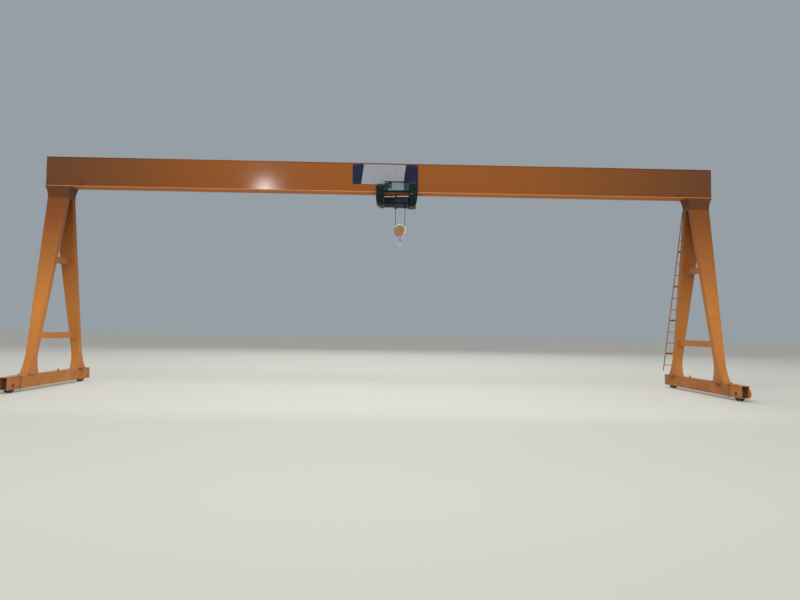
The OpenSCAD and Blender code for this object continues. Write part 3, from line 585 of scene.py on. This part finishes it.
def addSign(sizes):
    # three panels that meet along slanting joints, on two rails, with a row of screws along each rail
    left, right, front = sizes["left"], sizes["right"], webLow.y - sizes["standOff"]
    leftJoint, rightJoint, slant = sizes["leftJoint"], sizes["rightJoint"], sizes["slant"]
    panels = (("white", leftJoint - slant, leftJoint, rightJoint - slant, rightJoint, signWhite),
              ("left", left, left, leftJoint - slant, leftJoint, signBlue),
              ("right", rightJoint - slant, rightJoint, right, right, signBlue))
    for name, leftLow, leftHigh, rightLow, rightHigh, paint in panels:
        panel = signPanel(leftLow, leftHigh, rightLow, rightHigh, sizes)
        addPiece(f"sign_{name}_panel", panel, paint, "root")
    lines = (sizes["low"] + sizes["railInset"], sizes["high"] - sizes["railInset"])
    screw = turned([[0, 0.006], [0.002, 0.006], [0.0035, 0.004]], (0, 0, 0), (0, -1, 0), 12)
    columns = np.linspace(left + 0.03, right - 0.03, 6)
    places = [(x, front - sizes["thick"], z) for x in columns for z in lines]
    rails = [chamferedBlock((left + 0.02, front - sunk, z - 0.012),
                            (right - 0.02, webLow.y, z + 0.012), 0.001) for z in lines]
    addPiece("sign_screws_and_rails", [repeated(screw, places)] + rails, boltSteel, "root")


addSign(signBoard)


print("rope drum and ropes")
drumLow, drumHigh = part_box("rope_drum")
hoistDrum = {"y": (drumLow.y + drumHigh.y) / 2, "z": (drumLow.z + drumHigh.z) / 2, "barrel": 0.150,
             "flange": 0.187, "flangeThick": 0.012, "shaft": 0.040, "from": 0.029, "to": 0.739,
             "woundFrom": 0.3555, "pitch": 0.017, "turns": 21, "empty": 18, "grooveDepth": 0.003,
             "clampX": 0.690, "clampAngles": (158, 214, 270)}
hoistRope = {"radius": 0.008, "strands": 6, "lay": 0.11, "live": 0.364, "dead": 0.628, "high": 5.11,
             "rows": 90}


def drumShape(sizes):
    # lathe profile along X: shaft, end flange, barrel with grooves (depth * |sin|), end flange, shaft
    start, end, barrel = sizes["from"], sizes["to"], sizes["barrel"]
    thick, flange, bevel = sizes["flangeThick"], sizes["flange"], 0.003
    reach = sizes["empty"] * sizes["pitch"]
    along = np.linspace(sizes["woundFrom"] - reach, sizes["woundFrom"], sizes["empty"] * 6 + 1)
    dip = sizes["grooveDepth"] * np.abs(np.sin((along - along[0]) * math.pi / sizes["pitch"]))
    profile = [[start, sizes["shaft"]], [start, flange - bevel], [start + bevel, flange],
               [start + thick - bevel, flange], [start + thick, flange - bevel], [start + thick, barrel]]
    profile += np.stack([along, barrel - dip], axis=1).tolist()
    profile += [[end - thick, barrel], [end - thick, flange - bevel], [end - thick + bevel, flange],
                [end - bevel, flange], [end, flange - bevel], [end, sizes["shaft"]]]
    return turned(profile, (0, sizes["y"], sizes["z"]), (1, 0, 0), 72)


def strandedRope(path, rope, up, perStrand=3):
    # section of stranded rope, radius * (0.86 + 0.14 * |cos(strands * a / 2)|), carried along the path and
    # turned by 2 pi for each lay length covered
    count = rope["strands"] * perStrand
    angle = np.arange(count) * 2 * math.pi / count
    radius = rope["radius"] * (0.86 + 0.14 * np.abs(np.cos(rope["strands"] * angle / 2)))
    section = np.stack([np.cos(angle), np.sin(angle)], axis=1) * radius[:, None]
    length = np.concatenate([[0], np.cumsum(np.linalg.norm(np.diff(path, axis=0), axis=1))])
    return alongPath(path, section, up, turn=length * 2 * math.pi / rope["lay"])


def woundRope(drum, rope):
    # helix on the barrel: x = from + pitch * a / 2 pi, y and z = axis + (barrel + radius) * (cos a, sin a)
    angle = np.linspace(0, drum["turns"] * 2 * math.pi, drum["turns"] * 64)
    around = drum["barrel"] + rope["radius"] - sunk
    path = np.stack([drum["woundFrom"] + 0.008 + (drum["pitch"] - 0.0005) * angle / (2 * math.pi),
                     drum["y"] + around * np.cos(angle), drum["z"] + around * np.sin(angle)], axis=1)
    return strandedRope(path, dict(rope, lay=0.2), (1, 0, 0))


def ropeTurn(rope):
    # half circle under the sheave: x = middle + half * cos a, z = axis + half * sin a, from 180 degrees on
    angle = np.linspace(math.pi, 2 * math.pi, 60)
    middle, half = (rope["live"] + rope["dead"]) / 2, (rope["dead"] - rope["live"]) / 2
    x, z = middle + half * np.cos(angle), sheaveZ + half * np.sin(angle)
    path = np.stack([x, np.full(60, frameY), z], axis=1)
    return strandedRope(path, rope, (0, 1, 0), 4)


addPiece("rope_drum_barrel", drumShape(hoistDrum), drumSteel, "drum", 50.0, ["rope_drum"])
addPiece("wound_rope", woundRope(hoistDrum, hoistRope), woundSteel, "drum", 60.0)

sheaveZ = float(midOf("hook_sheave")[2])
for fallName in ("live", "dead"):
    top, low = (hoistRope[fallName], frameY, hoistRope["high"]), (hoistRope[fallName], frameY, sheaveZ)
    fallShape = strandedRope(np.linspace(top, low, hoistRope["rows"]), hoistRope, (1, 0, 0), 4)
    fall = addPiece(f"rope_fall_{fallName}", fallShape, ropeSteel, None, 60.0, ["rope_falls"])
    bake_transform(fall)
addPiece("rope_round_sheave", ropeTurn(hoistRope), ropeSteel, "hook_block", 60.0, ["rope_turn"])


print("hook block")
hookBlock = {"x": (hoistRope["live"] + hoistRope["dead"]) / 2, "pinZ": sheaveZ, "lowZ": 4.248, "cover": 0.170,
             "coverIn": 0.036, "coverOut": 0.046, "strapOut": 0.056, "eye": 0.046, "pin": 0.025,
             "pinOut": 0.070, "guard": 0.160, "rimIn": 0.142, "rimOut": 0.1695, "rimProud": 0.003}


def plateShape(outline, origin, across, upward, low, high, bevel):
    # flat plate: origin + u * across + v * upward + depth * normal, drawn in by the bevel at both faces
    outline, origin, across, upward = arrays(outline, origin, across, upward)
    along = unit(np.roll(outline, -1, axis=0) - np.roll(outline, 1, axis=0))
    inward = np.stack([-along[:, 1], along[:, 0]], axis=1)
    normal = np.cross(across, upward)
    rows = []
    for depth, cut in ((low, bevel), (low + bevel, 0.0), (high - bevel, 0.0), (high, bevel)):
        flat = outline + inward * cut
        rows.append(origin + flat[:, :1] * across + flat[:, 1:] * upward + depth * normal)
    return gridShape(np.array(rows))


def strapOutline(sizes):
    # two eyes joined by straight flanks, counter-clockwise from the upper eye's right
    lower = arcPoints(sizes["eye"], 150, 390, 25) + [0, sizes["lowZ"] - sizes["pinZ"]]
    return np.concatenate([arcPoints(sizes["eye"], -30, 210, 25), lower])


def rimOutline(sizes):
    # band round the cover from upper left to lower right, then a narrowing strip down to the crosshead
    outer = arcPoints(sizes["rimOut"], 150, -42, 60)
    inner = arcPoints(sizes["rimIn"], -38, 150, 55)
    strip = np.array([[0.098, -0.150], [0.078, -0.190], [0.062, -0.232], [0.050, -0.262],
                      [0.034, -0.262], [0.044, -0.228], [0.060, -0.186], [0.084, -0.140]])
    return np.concatenate([outer, strip, inner])[::-1]


def hookBlockShapes(sizes):
    # on each side of the sheave a dished cover with a rim, a strap down to the crosshead, and a pin with its
    # keeper among the cover's bolts
    covers, rims, straps, caps = [], [], [], []
    x0, pinZ, near, far = sizes["x"], sizes["pinZ"], sizes["coverIn"], sizes["coverOut"]
    edge, pin, pinOut = sizes["cover"], sizes["pin"], sizes["pinOut"]
    coverProfile = [[near, 0.030], [near, 0.166], [near + 0.003, edge], [far - 0.003, edge], [far, 0.166],
                    [far, 0.140], [far - 0.004, 0.132], [far - 0.004, 0.078], [far, 0.070], [far, 0.030]]
    pinProfile = [[near - 0.002, pin], [pinOut - 0.003, pin], [pinOut, pin - 0.003], [pinOut, 0.006],
                  [pinOut - 0.003, 0.004]]
    origin = (x0, frameY, pinZ)
    for way in (-1, 1):
        out = (0, way, 0)
        covers.append(turned(coverProfile, origin, out, 72))
        for shapes, outline, top, bevel in ((straps, strapOutline(sizes), sizes["strapOut"], 0.002),
                                            (rims, rimOutline(sizes), far + sizes["rimProud"], 0.001)):
            shapes.append(plateShape(outline, origin, (-way, 0, 0), (0, 0, 1), far - 0.001, top, bevel))
        caps.append(turned(pinProfile, origin, out, 32))
        places = [(x0 + x, frameY + way * (far - sunk), pinZ + z) for x, z in arcPoints(0.112, 40, 320, 5)]
        caps.append(repeated(hexBolt(0.016, 0.007, out), places))
        front, rear = sorted((frameY + way * 0.055, frameY + way * 0.061))
        keeperLow, keeperHigh = (x0 - 0.034, front, pinZ + 0.020), (x0 + 0.034, rear, pinZ + 0.038)
        caps.append(chamferedBlock(keeperLow, keeperHigh, 0.001))
        places = [(x0 + x, frameY + way * 0.060, pinZ + 0.029) for x in (-0.025, 0.025)]
        caps.append(repeated(hexBolt(0.010, 0.004, out), places))
    return covers, rims, straps, caps


def guardShapes(sizes):
    # bars that keep the rope in the groove: a rectangle carried along arcs about the sheave's axis
    across, outward = np.array([[-0.036, 0], [0.036, 0], [0.036, 0.008], [-0.036, 0.008]]).T[:, :, None]
    middle = np.array([sizes["x"], frameY, sizes["pinZ"]])
    bars = []
    for start, end in ((52, 128), (-50, 22), (158, 230)):
        arc = arcPoints(1.0, start, end, 30)
        radial = np.stack([arc[:, 0], np.zeros(30), arc[:, 1]], axis=1)[:, None]
        bars.append(gridShape(middle + radial * (sizes["guard"] + outward) + across * np.array([0, 1.0, 0])))
    return bars


covers, rims, straps, caps = hookBlockShapes(hookBlock)
for name, shapes, paint, slot in (("covers", covers + guardShapes(hookBlock), tanPaint, "block_paint"),
                                  ("rims", rims, creamPaint, "block_paint"),
                                  ("straps", straps, strapPaint, "block_paint"),
                                  ("pin_and_bolts", caps, tanPaint, "bright_steel")):
    addPiece(f"hook_block_{name}", shapes, paint, "hook_block", 35.0, ["hook_side_plates"])

forgedHook = {"x": hookBlock["x"], "z": 4.103, "mid": 0.061, "shank": 0.0195, "body": 0.0228,
              "nutLow": 4.271, "nutHigh": 4.307, "nut": 0.0328}


def hookShape(sizes):
    # rounded triangle (wider on the inside) carried down the shank, along a cubic bend and round the bowl;
    # its radius is interpolated between the shank's, the bowl's and the tip's
    mid, shank, body = sizes["mid"], sizes["shank"], sizes["body"]
    bowl = np.radians(np.linspace(118, 372, 70))
    bowlPath = np.stack([np.cos(bowl) * mid, np.zeros(70), sizes["z"] + np.sin(bowl) * mid], axis=1)
    shankPath = np.stack([np.zeros(14), np.zeros(14), np.linspace(4.292, 4.205, 14)], axis=1)
    t = np.linspace(0, 1, 14)[1:-1, None]
    bend = ((1 - t) ** 3 * shankPath[-1] + 3 * (1 - t) ** 2 * t * (shankPath[-1] - np.array([0, 0, 0.022]))
            + 3 * (1 - t) * t ** 2 * (bowlPath[0] + np.array([0.016, 0, 0.0085])) + t ** 3 * bowlPath[0])
    path = np.concatenate([shankPath, bend, bowlPath]) + np.array([sizes["x"], frameY, 0])
    step = np.linspace(0, 1, len(path))
    radius = np.interp(step, [0, 0.16, 0.30, 0.5, 0.72, 0.88, 0.97, 0.992, 1.0],
                       [shank, shank, body * 0.92, body, body, 0.016, 0.0115, 0.008, 0.003])[:, None]
    angle = np.arange(28)[None] * 2 * math.pi / 28
    flatness = np.clip((step - 0.16) / 0.2, 0, 1)[:, None]
    wide = 1 + 0.12 * flatness * np.cos(angle) * np.abs(np.cos(angle))
    side = np.array([0, 1.0, 0])
    lift = np.cross(side, unit(np.gradient(path, axis=0)))
    return gridShape(path[:, None] + (radius * np.sin(angle) * wide * 0.94)[:, :, None] * side
                     + (radius * np.cos(angle))[:, :, None] * lift[:, None])


def hookFittings(sizes):
    # the nut on the shank, and the latch, a thin strip bent down from its hinge to the tip
    x0, low, high, nut = sizes["x"], sizes["nutLow"], sizes["nutHigh"], sizes["nut"]
    nutShape = turned([[low, nut * 0.94], [low + 0.003, nut], [high - 0.004, nut], [high, nut * 0.9]],
                      (x0, frameY, 0), (0, 0, 1), 6)
    path = [[x0 + x, frameY, z] for x, z in ((0.016, 4.196), (0.024, 4.178), (0.034, 4.152), (0.041, 4.132),
                                             (0.046, 4.118))]
    strip = [[-0.011, -0.0012], [0.011, -0.0012], [0.011, 0.0012], [-0.011, 0.0012]]
    latch = alongPath(path, strip, (1, 0, 0.4))
    hinge = turned([[-0.016, 0.004], [-0.015, 0.005], [0.015, 0.005], [0.016, 0.004]],
                   (x0 + 0.019, frameY, 4.194), (0, 1, 0), 16)
    return [nutShape, latch, hinge]


addPiece("hook_forging", hookShape(forgedHook), forgedSteel, "hook", 60.0, ["hook"])
addPiece("hook_nut_and_latch", hookFittings(forgedHook), boltSteel, "hook", 35.0, ["hook"])


print("carriage details")
# joint: half width, place along Y, low, high; keeper: half width, half height; tongue: half width, half
# length, low, high
carriageDetails = {"joint": (0.120, -1.59, 0.075, 0.403), "band": 0.011, "proud": 0.0008, "web": 0.100,
                   "axleY": -1.87, "axleZ": 0.186, "keeper": (0.033, 0.036), "columnY": 1.325,
                   "tongue": (0.17, 0.18, 0.393, 0.407), "bolt": 0.036, "caseFace": 0.230,
                   "motorEnd": (0.215, -1.335, 0.246), "motorRadius": 0.078}


def bandRing(low, high, axis, proud):
    # thin band laid round a box's outline: a rectangular section carried round its four corners
    ends = np.asarray(low, float) - proud, np.asarray(high, float) + proud
    lowEdge, highEdge = ends[0][axis] + proud, ends[1][axis] - proud
    first, second = [k for k in range(3) if k != axis]
    inset = np.array([0, 0, 1, 1]) * proud * 3
    rows = np.empty((4, 4, 3))
    rows[:, :, axis] = [lowEdge, highEdge, highEdge, lowEdge]
    for row, a, b in zip(rows, (0, 1, 1, 0), (0, 0, 1, 1)):
        row[:, first] = ends[a][first] + (1 - 2 * a) * inset
        row[:, second] = ends[b][second] + (1 - 2 * b) * inset
    return gridShape(rows, closeRows=True)


def fanGrille(centre, radius, axis):
    # a fan cover's end: a shallow cap with thin rings on it, each a small round carried round the axis
    axis, ring = ringRound(axis, 48)
    wire = arcPoints(0.0018, 0, 300, 6)
    cap = [[-0.002, radius * 0.98], [0.004, radius * 0.98], [0.008, radius * 0.90], [0.009, radius * 0.2]]
    paths = [centre + axis * 0.0095 + radius * share * ring for share in (0.3, 0.42, 0.54, 0.66, 0.78)]
    return [turned(cap, centre, axis, 40)] + [alongPath(path, wire, axis, closed=True) for path in paths]


def carriageShapes(sizes):
    # dark bands at the wheel boxes' joints, dark bands round the base plate tongues as painted shade, keepers
    # on both sides of the front axles, the tongues' bolt places, and the covers and bolts of the travel
    # drives
    seamsAndShade, keepers, bolts, covers = [], [], [], []
    y, z, proud, band = sizes["axleY"], sizes["axleZ"], sizes["proud"], sizes["band"]
    half, jointY, jointLow, jointHigh = sizes["joint"]
    halfY, halfZ = sizes["keeper"]
    halfX, halfLength, low, top = sizes["tongue"]
    motorX, motorY, motorZ = sizes["motorEnd"]
    for side in sides.values():
        x0, out = side * railX, (side, 0, 0)
        middle = np.array([x0 + side * (sizes["caseFace"] - sunk), y, z])
        covers.append(turned([[0, 0.046], [0.006, 0.046], [0.010, 0.041], [0.010, 0.012]], middle, out, 32))
        rim = np.concatenate([arcPoints(0.105, 95, 275, 5), arcPoints(0.076, -75, 85, 4) + [0.15, 0.06]])
        rim = np.concatenate([np.zeros((len(rim), 1)), rim], axis=1)
        covers.append(repeated(hexBolt(0.014, 0.007, out), middle + rim))
        covers += fanGrille((x0 + side * motorX, motorY, motorZ), sizes["motorRadius"], (0, 1, 0))
        seamsAndShade.append(bandRing((x0 - half, jointY - band, jointLow), (x0 + half, jointY + band, jointHigh),
                              1, proud))
        for way in (-1, 1):
            outer, inner = x0 + way * (sizes["web"] + 0.001), x0 + way * (sizes["web"] - 0.012)
            keepers.append(chamferedBlock((min(outer, inner), y - halfY, z - halfZ),
                                          (max(outer, inner), y + halfY, z + halfZ), 0.002))
            places = [(outer, y + a, z + b) for a in (-0.023, 0.023) for b in (-0.026, 0.026)]
            keepers.append(repeated(hexBolt(0.014, 0.006, (way, 0, 0)), places))
            columnY = frameY + way * sizes["columnY"]
            # a dark band round the tongue's edges: painted shade
            seamsAndShade.append(bandRing((x0 - halfX, columnY - halfLength, low + 0.001),
                                  (x0 + halfX, columnY + halfLength, top - 0.001), 2, proud))
            bolts += [(x0 + a, columnY + b, top - sunk) for a in (-0.140, 0.140) for b in (-0.135, 0.135)]
    return seamsAndShade, keepers, bolts, covers


carriageSeamsAndShade, axleKeepers, boltPlaces, driveCovers = carriageShapes(carriageDetails)
tongueBolts = repeated(hexBolt(carriageDetails["bolt"], 0.016, (0, 0, 1)), boltPlaces)
# dark bands at the joints, and round the tongues as painted shade
addPiece("carriage_joint_seams_and_tongue_shade", carriageSeamsAndShade, darkSeamAndShadePaint, "root", 30.0)
addPiece("travel_drive_covers", driveCovers, drivePaint, "root", 35.0)
addPiece("axle_keepers", axleKeepers, wheelSteel, "root", 30.0)
addPiece("tongue_bolts", tongueBolts, boltSteel, "root", 30.0)


print("hoist details")
boxLow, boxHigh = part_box("control_box")
hoistBox = {"door": boxLow.y + 0.014, "low": 5.525, "high": 5.753, "left": 0.039,
            "plate": (0.233, 5.529, 0.575, 5.749), "tab": (0.133, 5.530, 0.236, 5.573),
            "panel": (0.584, 5.533, 0.722, 5.747), "corner": (0.030, 5.735, 0.150, 5.757),
            "handle": (0.186, 5.590, 5.702), "eye": 0.129, "lidStrip": (0.022, 5.762, 0.600, 5.781)}


def frontPlate(rect, front, thick):
    # a plate on a face that looks along -Y: rect is x low, z low, x high, z high
    return chamferedBlock((rect[0], front - thick, rect[1]), (rect[2], front + sunk, rect[3]), 0.0012)


def boxDetails(sizes):
    # bowed door handle, hinges, lifting eye, the label plate's screws and a corner plate
    front = sizes["door"]
    x, low, high = sizes["handle"]
    angle = np.linspace(0, math.pi, 17)
    height = (low + high) / 2 - np.cos(angle) * (high - low) / 2
    path = np.stack([np.full(17, x), front - 0.020 * np.sin(angle) ** 0.5, height], axis=1)
    handle = alongPath(path, arcPoints(0.0055, 0, 330, 12), (1, 0, 0))
    hingeProfile = [[0, 0.005], [0.002, 0.007], [0.038, 0.007], [0.040, 0.005]]
    hinges = [turned(hingeProfile, (sizes["left"] - 0.004, front - 0.002, z), (0, 0, 1), 14)
              for z in (sizes["low"] + 0.02, sizes["high"] - 0.06)]
    eyeProfile = [[0, 0.013], [0.006, 0.013], [0.010, 0.007], [0.020, 0.006], [0.024, 0.012], [0.034, 0.012],
                  [0.038, 0.006]]
    eye = turned(eyeProfile, (sizes["eye"], front + 0.06, boxHigh.z - 0.001), (0, 0, 1), 20)
    x0, z0, x1, z1 = sizes["plate"]
    screw = turned([[0, 0.004], [0.0015, 0.004], [0.0025, 0.003]], (0, 0, 0), (0, -1, 0), 10)
    places = [(x, front - 0.002, z) for x in (x0 + 0.012, x1 - 0.012) for z in (z0 + 0.012, z1 - 0.012)]
    return [handle] + hinges + [eye, repeated(screw, places), frontPlate(sizes["corner"], front, 0.004)]


door = hoistBox["door"]
palePlates = [frontPlate(hoistBox["plate"], door, 0.002), frontPlate(hoistBox["tab"], door, 0.003)]
greenPanel = frontPlate(hoistBox["panel"], door, 0.002)
addPiece("box_pale_plates", palePlates, plateGrey, "trolley", 30.0)
addPiece("box_green_panel", greenPanel, panelGreen, "trolley", 30.0)
# painted shade: a near-black strip along the lid's overhanging front edge
addPiece("box_lid_shade_strip", frontPlate(hoistBox["lidStrip"], boxLow.y, 0.003), lidShadeDark, "trolley", 30.0)
addPiece("box_fittings", boxDetails(hoistBox), boltSteel, "trolley", 35.0)

# motors: end of the axis and radius; terminals: corners from there, with X from the trolley's middle
hoistFittings = {"hoistMotor": (0.224, 0.791, 5.35, 0.108), "travelMotor": (0.284, 0.731, 5.605, 0.064),
                 "hoistTerminals": ((0.43, -0.065, 0.088), (0.57, 0.065, 0.150), 0.006),
                 "travelTerminals": ((0.10, -0.032, 0.048), (0.18, 0.032, 0.086), 0.004),
                 "wheels": ((-0.086, 5.6053), (0.854, 5.6053)), "frontBolt": (0.797, 5.461),
                 "frameInset": 0.045, "frameBolts": (5.50, 5.585, 5.67), "caseInset": (0.025, 0.022, 0.028)}


def hoistShapes(sizes):
    # zinc bolts on the front and round the gear case's cover, and painted bolts and wheel caps on the frames
    ends = [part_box("trolley_left_end"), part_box("trolley_right_end")]
    front = ends[1][0].y
    face = front + sunk
    x, z = sizes["frontBolt"]
    bolts, covers = [repeated(hexBolt(0.030, 0.014, (0, -1, 0)), [(x, face, z)])], []
    small, smallest = hexBolt(0.013, 0.006, (0, -1, 0)), hexBolt(0.009, 0.004, (0, -1, 0))
    for low, high in ends:
        columns = (low.x + sizes["frameInset"], high.x - sizes["frameInset"])
        covers.append(repeated(small, [(a, face, b) for a in columns for b in sizes["frameBolts"]]))
    cap = [[0, 0.042], [0.004, 0.044], [0.010, 0.044], [0.014, 0.038], [0.014, 0.008]]
    for wheelX, wheelZ in sizes["wheels"]:
        covers.append(turned(cap, (wheelX, face, wheelZ), (0, -1, 0), 36))
        places = [(wheelX + a, front - 0.0135, wheelZ + b) for a, b in arcPoints(0.028, 45, 315, 4)]
        covers.append(repeated(smallest, places))
    driveLow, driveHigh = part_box("hoist_drive")
    caseX = driveHigh.x - sunk
    insetFront, insetRear, insetZ = sizes["caseInset"]
    y0, y1 = driveLow.y + insetFront, driveHigh.y - insetRear
    z0, z1 = driveLow.z + insetZ, driveHigh.z - insetZ
    edge = [(caseX, y0 + (y1 - y0) * a, z) for a in (0.05, 0.4, 0.72) for z in (z0, z1)]
    edge += [(caseX, y1, z0 + (z1 - z0) * b) for b in (0.3, 0.7)]
    bolts.append(repeated(hexBolt(0.018, 0.008, (1, 0, 0)), edge))
    return bolts, covers


def motorCovers(motor, terminals, axis):
    # the fan cover's end, and a chamfered terminal box
    x, y, z, radius = motor
    low, high, chamfer = terminals
    middle = np.array([0, y, z])
    return fanGrille((x, y, z), radius, axis) + [chamferedBlock(middle + low, middle + high, chamfer)]


def ropeClamps(drum):
    # three clamps over the last turns, turned about the drum's axis: each a small block with a bolt on it
    points, quads, flats = chamferedBlock((-0.022, -0.014, -0.003), (0.022, 0.014, 0.006), 0.002)
    shapes = []
    for angle in np.radians(drum["clampAngles"]).tolist():
        outward = np.array([0, math.cos(angle), math.sin(angle)])
        around = np.array([0, -math.sin(angle), math.cos(angle)])
        centre = np.array([drum["clampX"], drum["y"], drum["z"]]) + outward * (drum["barrel"] + 0.016)
        moved = points @ np.stack([[1.0, 0, 0], around, outward])
        shapes.append((centre + moved, quads, flats))
        shapes.append(repeated(hexBolt(0.018, 0.008, outward), [centre + outward * 0.0055]))
    return shapes


hoistBolts, wheelCaps = hoistShapes(hoistFittings)
hoistMotor = motorCovers(hoistFittings["hoistMotor"], hoistFittings["hoistTerminals"], (-1, 0, 0))
travelMotor = motorCovers(hoistFittings["travelMotor"], hoistFittings["travelTerminals"], (1, 0, 0))
addPiece("hoist_bolts", hoistBolts, boltSteel, "trolley", 35.0)
addPiece("hoist_wheel_caps", wheelCaps, greenPaint, "trolley", 35.0)
addPiece("hoist_motor_covers", hoistMotor, greenPaint, "trolley", 35.0)
addPiece("travel_motor_covers", travelMotor, drivePaint, "trolley", 35.0)
addPiece("rope_clamps", ropeClamps(hoistDrum), boltSteel, "drum", 35.0)


print("camera and lights")
photoView = {"place": (0.058, frameY - 17.881, 1.645), "yaw": 0.02599, "pitch": 0.04805, "roll": 0.01380,
             "focalPixels": 634.6, "imageWidth": 800, "sensor": 36.0}


def placeAt(placed, right, up, back, place):
    # an object's matrix from its three axes and its place
    matrix = np.eye(4)
    matrix[:3, 0], matrix[:3, 1], matrix[:3, 2], matrix[:3, 3] = right, up, back, place
    placed.matrix_world = Matrix(matrix.tolist())


def addCamera(view):
    # axes of a camera that looks along +Y, turned by yaw, raised by pitch and rolled about its own view
    yaw, pitch, roll = view["yaw"], view["pitch"], view["roll"]
    forward = np.array([math.sin(yaw) * math.cos(pitch), math.cos(yaw) * math.cos(pitch), math.sin(pitch)])
    right = np.array([math.cos(yaw), -math.sin(yaw), 0.0])
    up = np.cross(right, forward)
    rolledRight = right * math.cos(roll) + up * math.sin(roll)
    rolledUp = up * math.cos(roll) - right * math.sin(roll)
    data = bpy.data.cameras.new("photo camera")
    data.sensor_fit = "HORIZONTAL"
    data.sensor_width = view["sensor"]
    data.lens = view["focalPixels"] / view["imageWidth"] * view["sensor"]
    data.clip_start, data.clip_end = 0.1, 500.0
    camera = newObject("photo camera", data)
    placeAt(camera, rolledRight, rolledUp, -forward, view["place"])
    bpy.context.scene.camera = camera


addCamera(photoView)

# place, aim, size in metres, power in watts, spread in degrees, and whether glossy faces mirror the lamp
lamps = {
    "key": ((-6.68, -17.7, 9.55), (-3.4, 0.1, 5.7), (0.40, 0.34), 110, 180, True),
    "hall": ((0.0, -7.5, 17.0), (0.0, 0.0, 1.0), (9.0, 8.0), 1500, 180, True),
    "low": ((0.0, -34.0, 5.0), (0.0, 0.4, 2.0), (40.0, 7.0), 1500, 80, False),
    "side": ((30.0, -14.0, 4.0), (-9.0, 0.0, 0.4), (3.0, 3.0), 18, 11, False),
    "back": ((0.0, 26.0, 25.0), (0.0, 0.4, 2.0), (30.0, 9.0), 4200, 150, True),
}


def addLamp(name, place, aim, size, power, degrees, mirrored):
    # a rectangle of light whose back is the direction from its aim to its place
    data = bpy.data.lights.new(name, "AREA")
    data.shape = "RECTANGLE"
    data.size, data.size_y = size
    data.energy = power
    data.spread = math.radians(degrees)
    lampObject = newObject(name, data)
    lampObject.visible_camera = False
    lampObject.visible_glossy = mirrored
    away, side, up = crossAxes(np.array(place) - np.array(aim))
    placeAt(lampObject, side, up, away, place)


for lampName, lampSettings in lamps.items():
    addLamp(lampName, *lampSettings)

surroundings = {"light": (0.72, 0.74, 0.78, 1.0), "strength": 0.50, "shown": colourOf(150, 159, 165),
                "floor": colourOf(188, 187, 178), "glow": 0.28, "reach": 150.0}


def addSurroundings(values):
    # pale world, shown to camera and glossy rays in another colour than its light, and a pale floor
    world = bpy.data.worlds.new("studio")
    bpy.context.scene.world = world
    world.use_nodes = True
    tree = world.node_tree
    tree.nodes.clear()
    path = addNode(tree, "LightPath")
    seen = combine(tree, "MAXIMUM", path.outputs["Is Camera Ray"], path.outputs["Is Glossy Ray"])
    light = addNode(tree, "Background", {"Color": values["light"], "Strength": values["strength"]})
    shown = addNode(tree, "Background", {"Color": values["shown"], "Strength": 1.0})
    mixed = addNode(tree, "MixShader", {0: seen, 1: light.outputs[0], 2: shown.outputs[0]})
    addNode(tree, "OutputWorld", {"Surface": mixed.outputs[0]})
    reach = values["reach"]
    corners = [(-reach, -reach, 0), (reach, -reach, 0), (reach, reach, 0), (-reach, reach, 0)]
    mesh = bpy.data.meshes.new("floor")
    mesh.from_pydata(corners, [], [(0, 1, 2, 3)])
    floor = newObject("floor", mesh)
    material, tree, shader, output = newMaterial("floor")
    setInputs(tree, shader, {"Base Color": values["floor"], "Roughness": 0.8})
    glow = multiply(tree, addNode(tree, "LightPath").outputs["Is Camera Ray"], values["glow"])
    shine = addNode(tree, "Emission", {"Color": values["floor"], "Strength": glow})
    both = addNode(tree, "AddShader", {0: shader.outputs[0], 1: shine.outputs[0]})
    tree.links.new(both.outputs[0], output.inputs["Surface"])
    mesh.materials.append(material)


addSurroundings(surroundings)
bpy.context.scene.view_settings.view_transform = "Standard"

print("finishing")
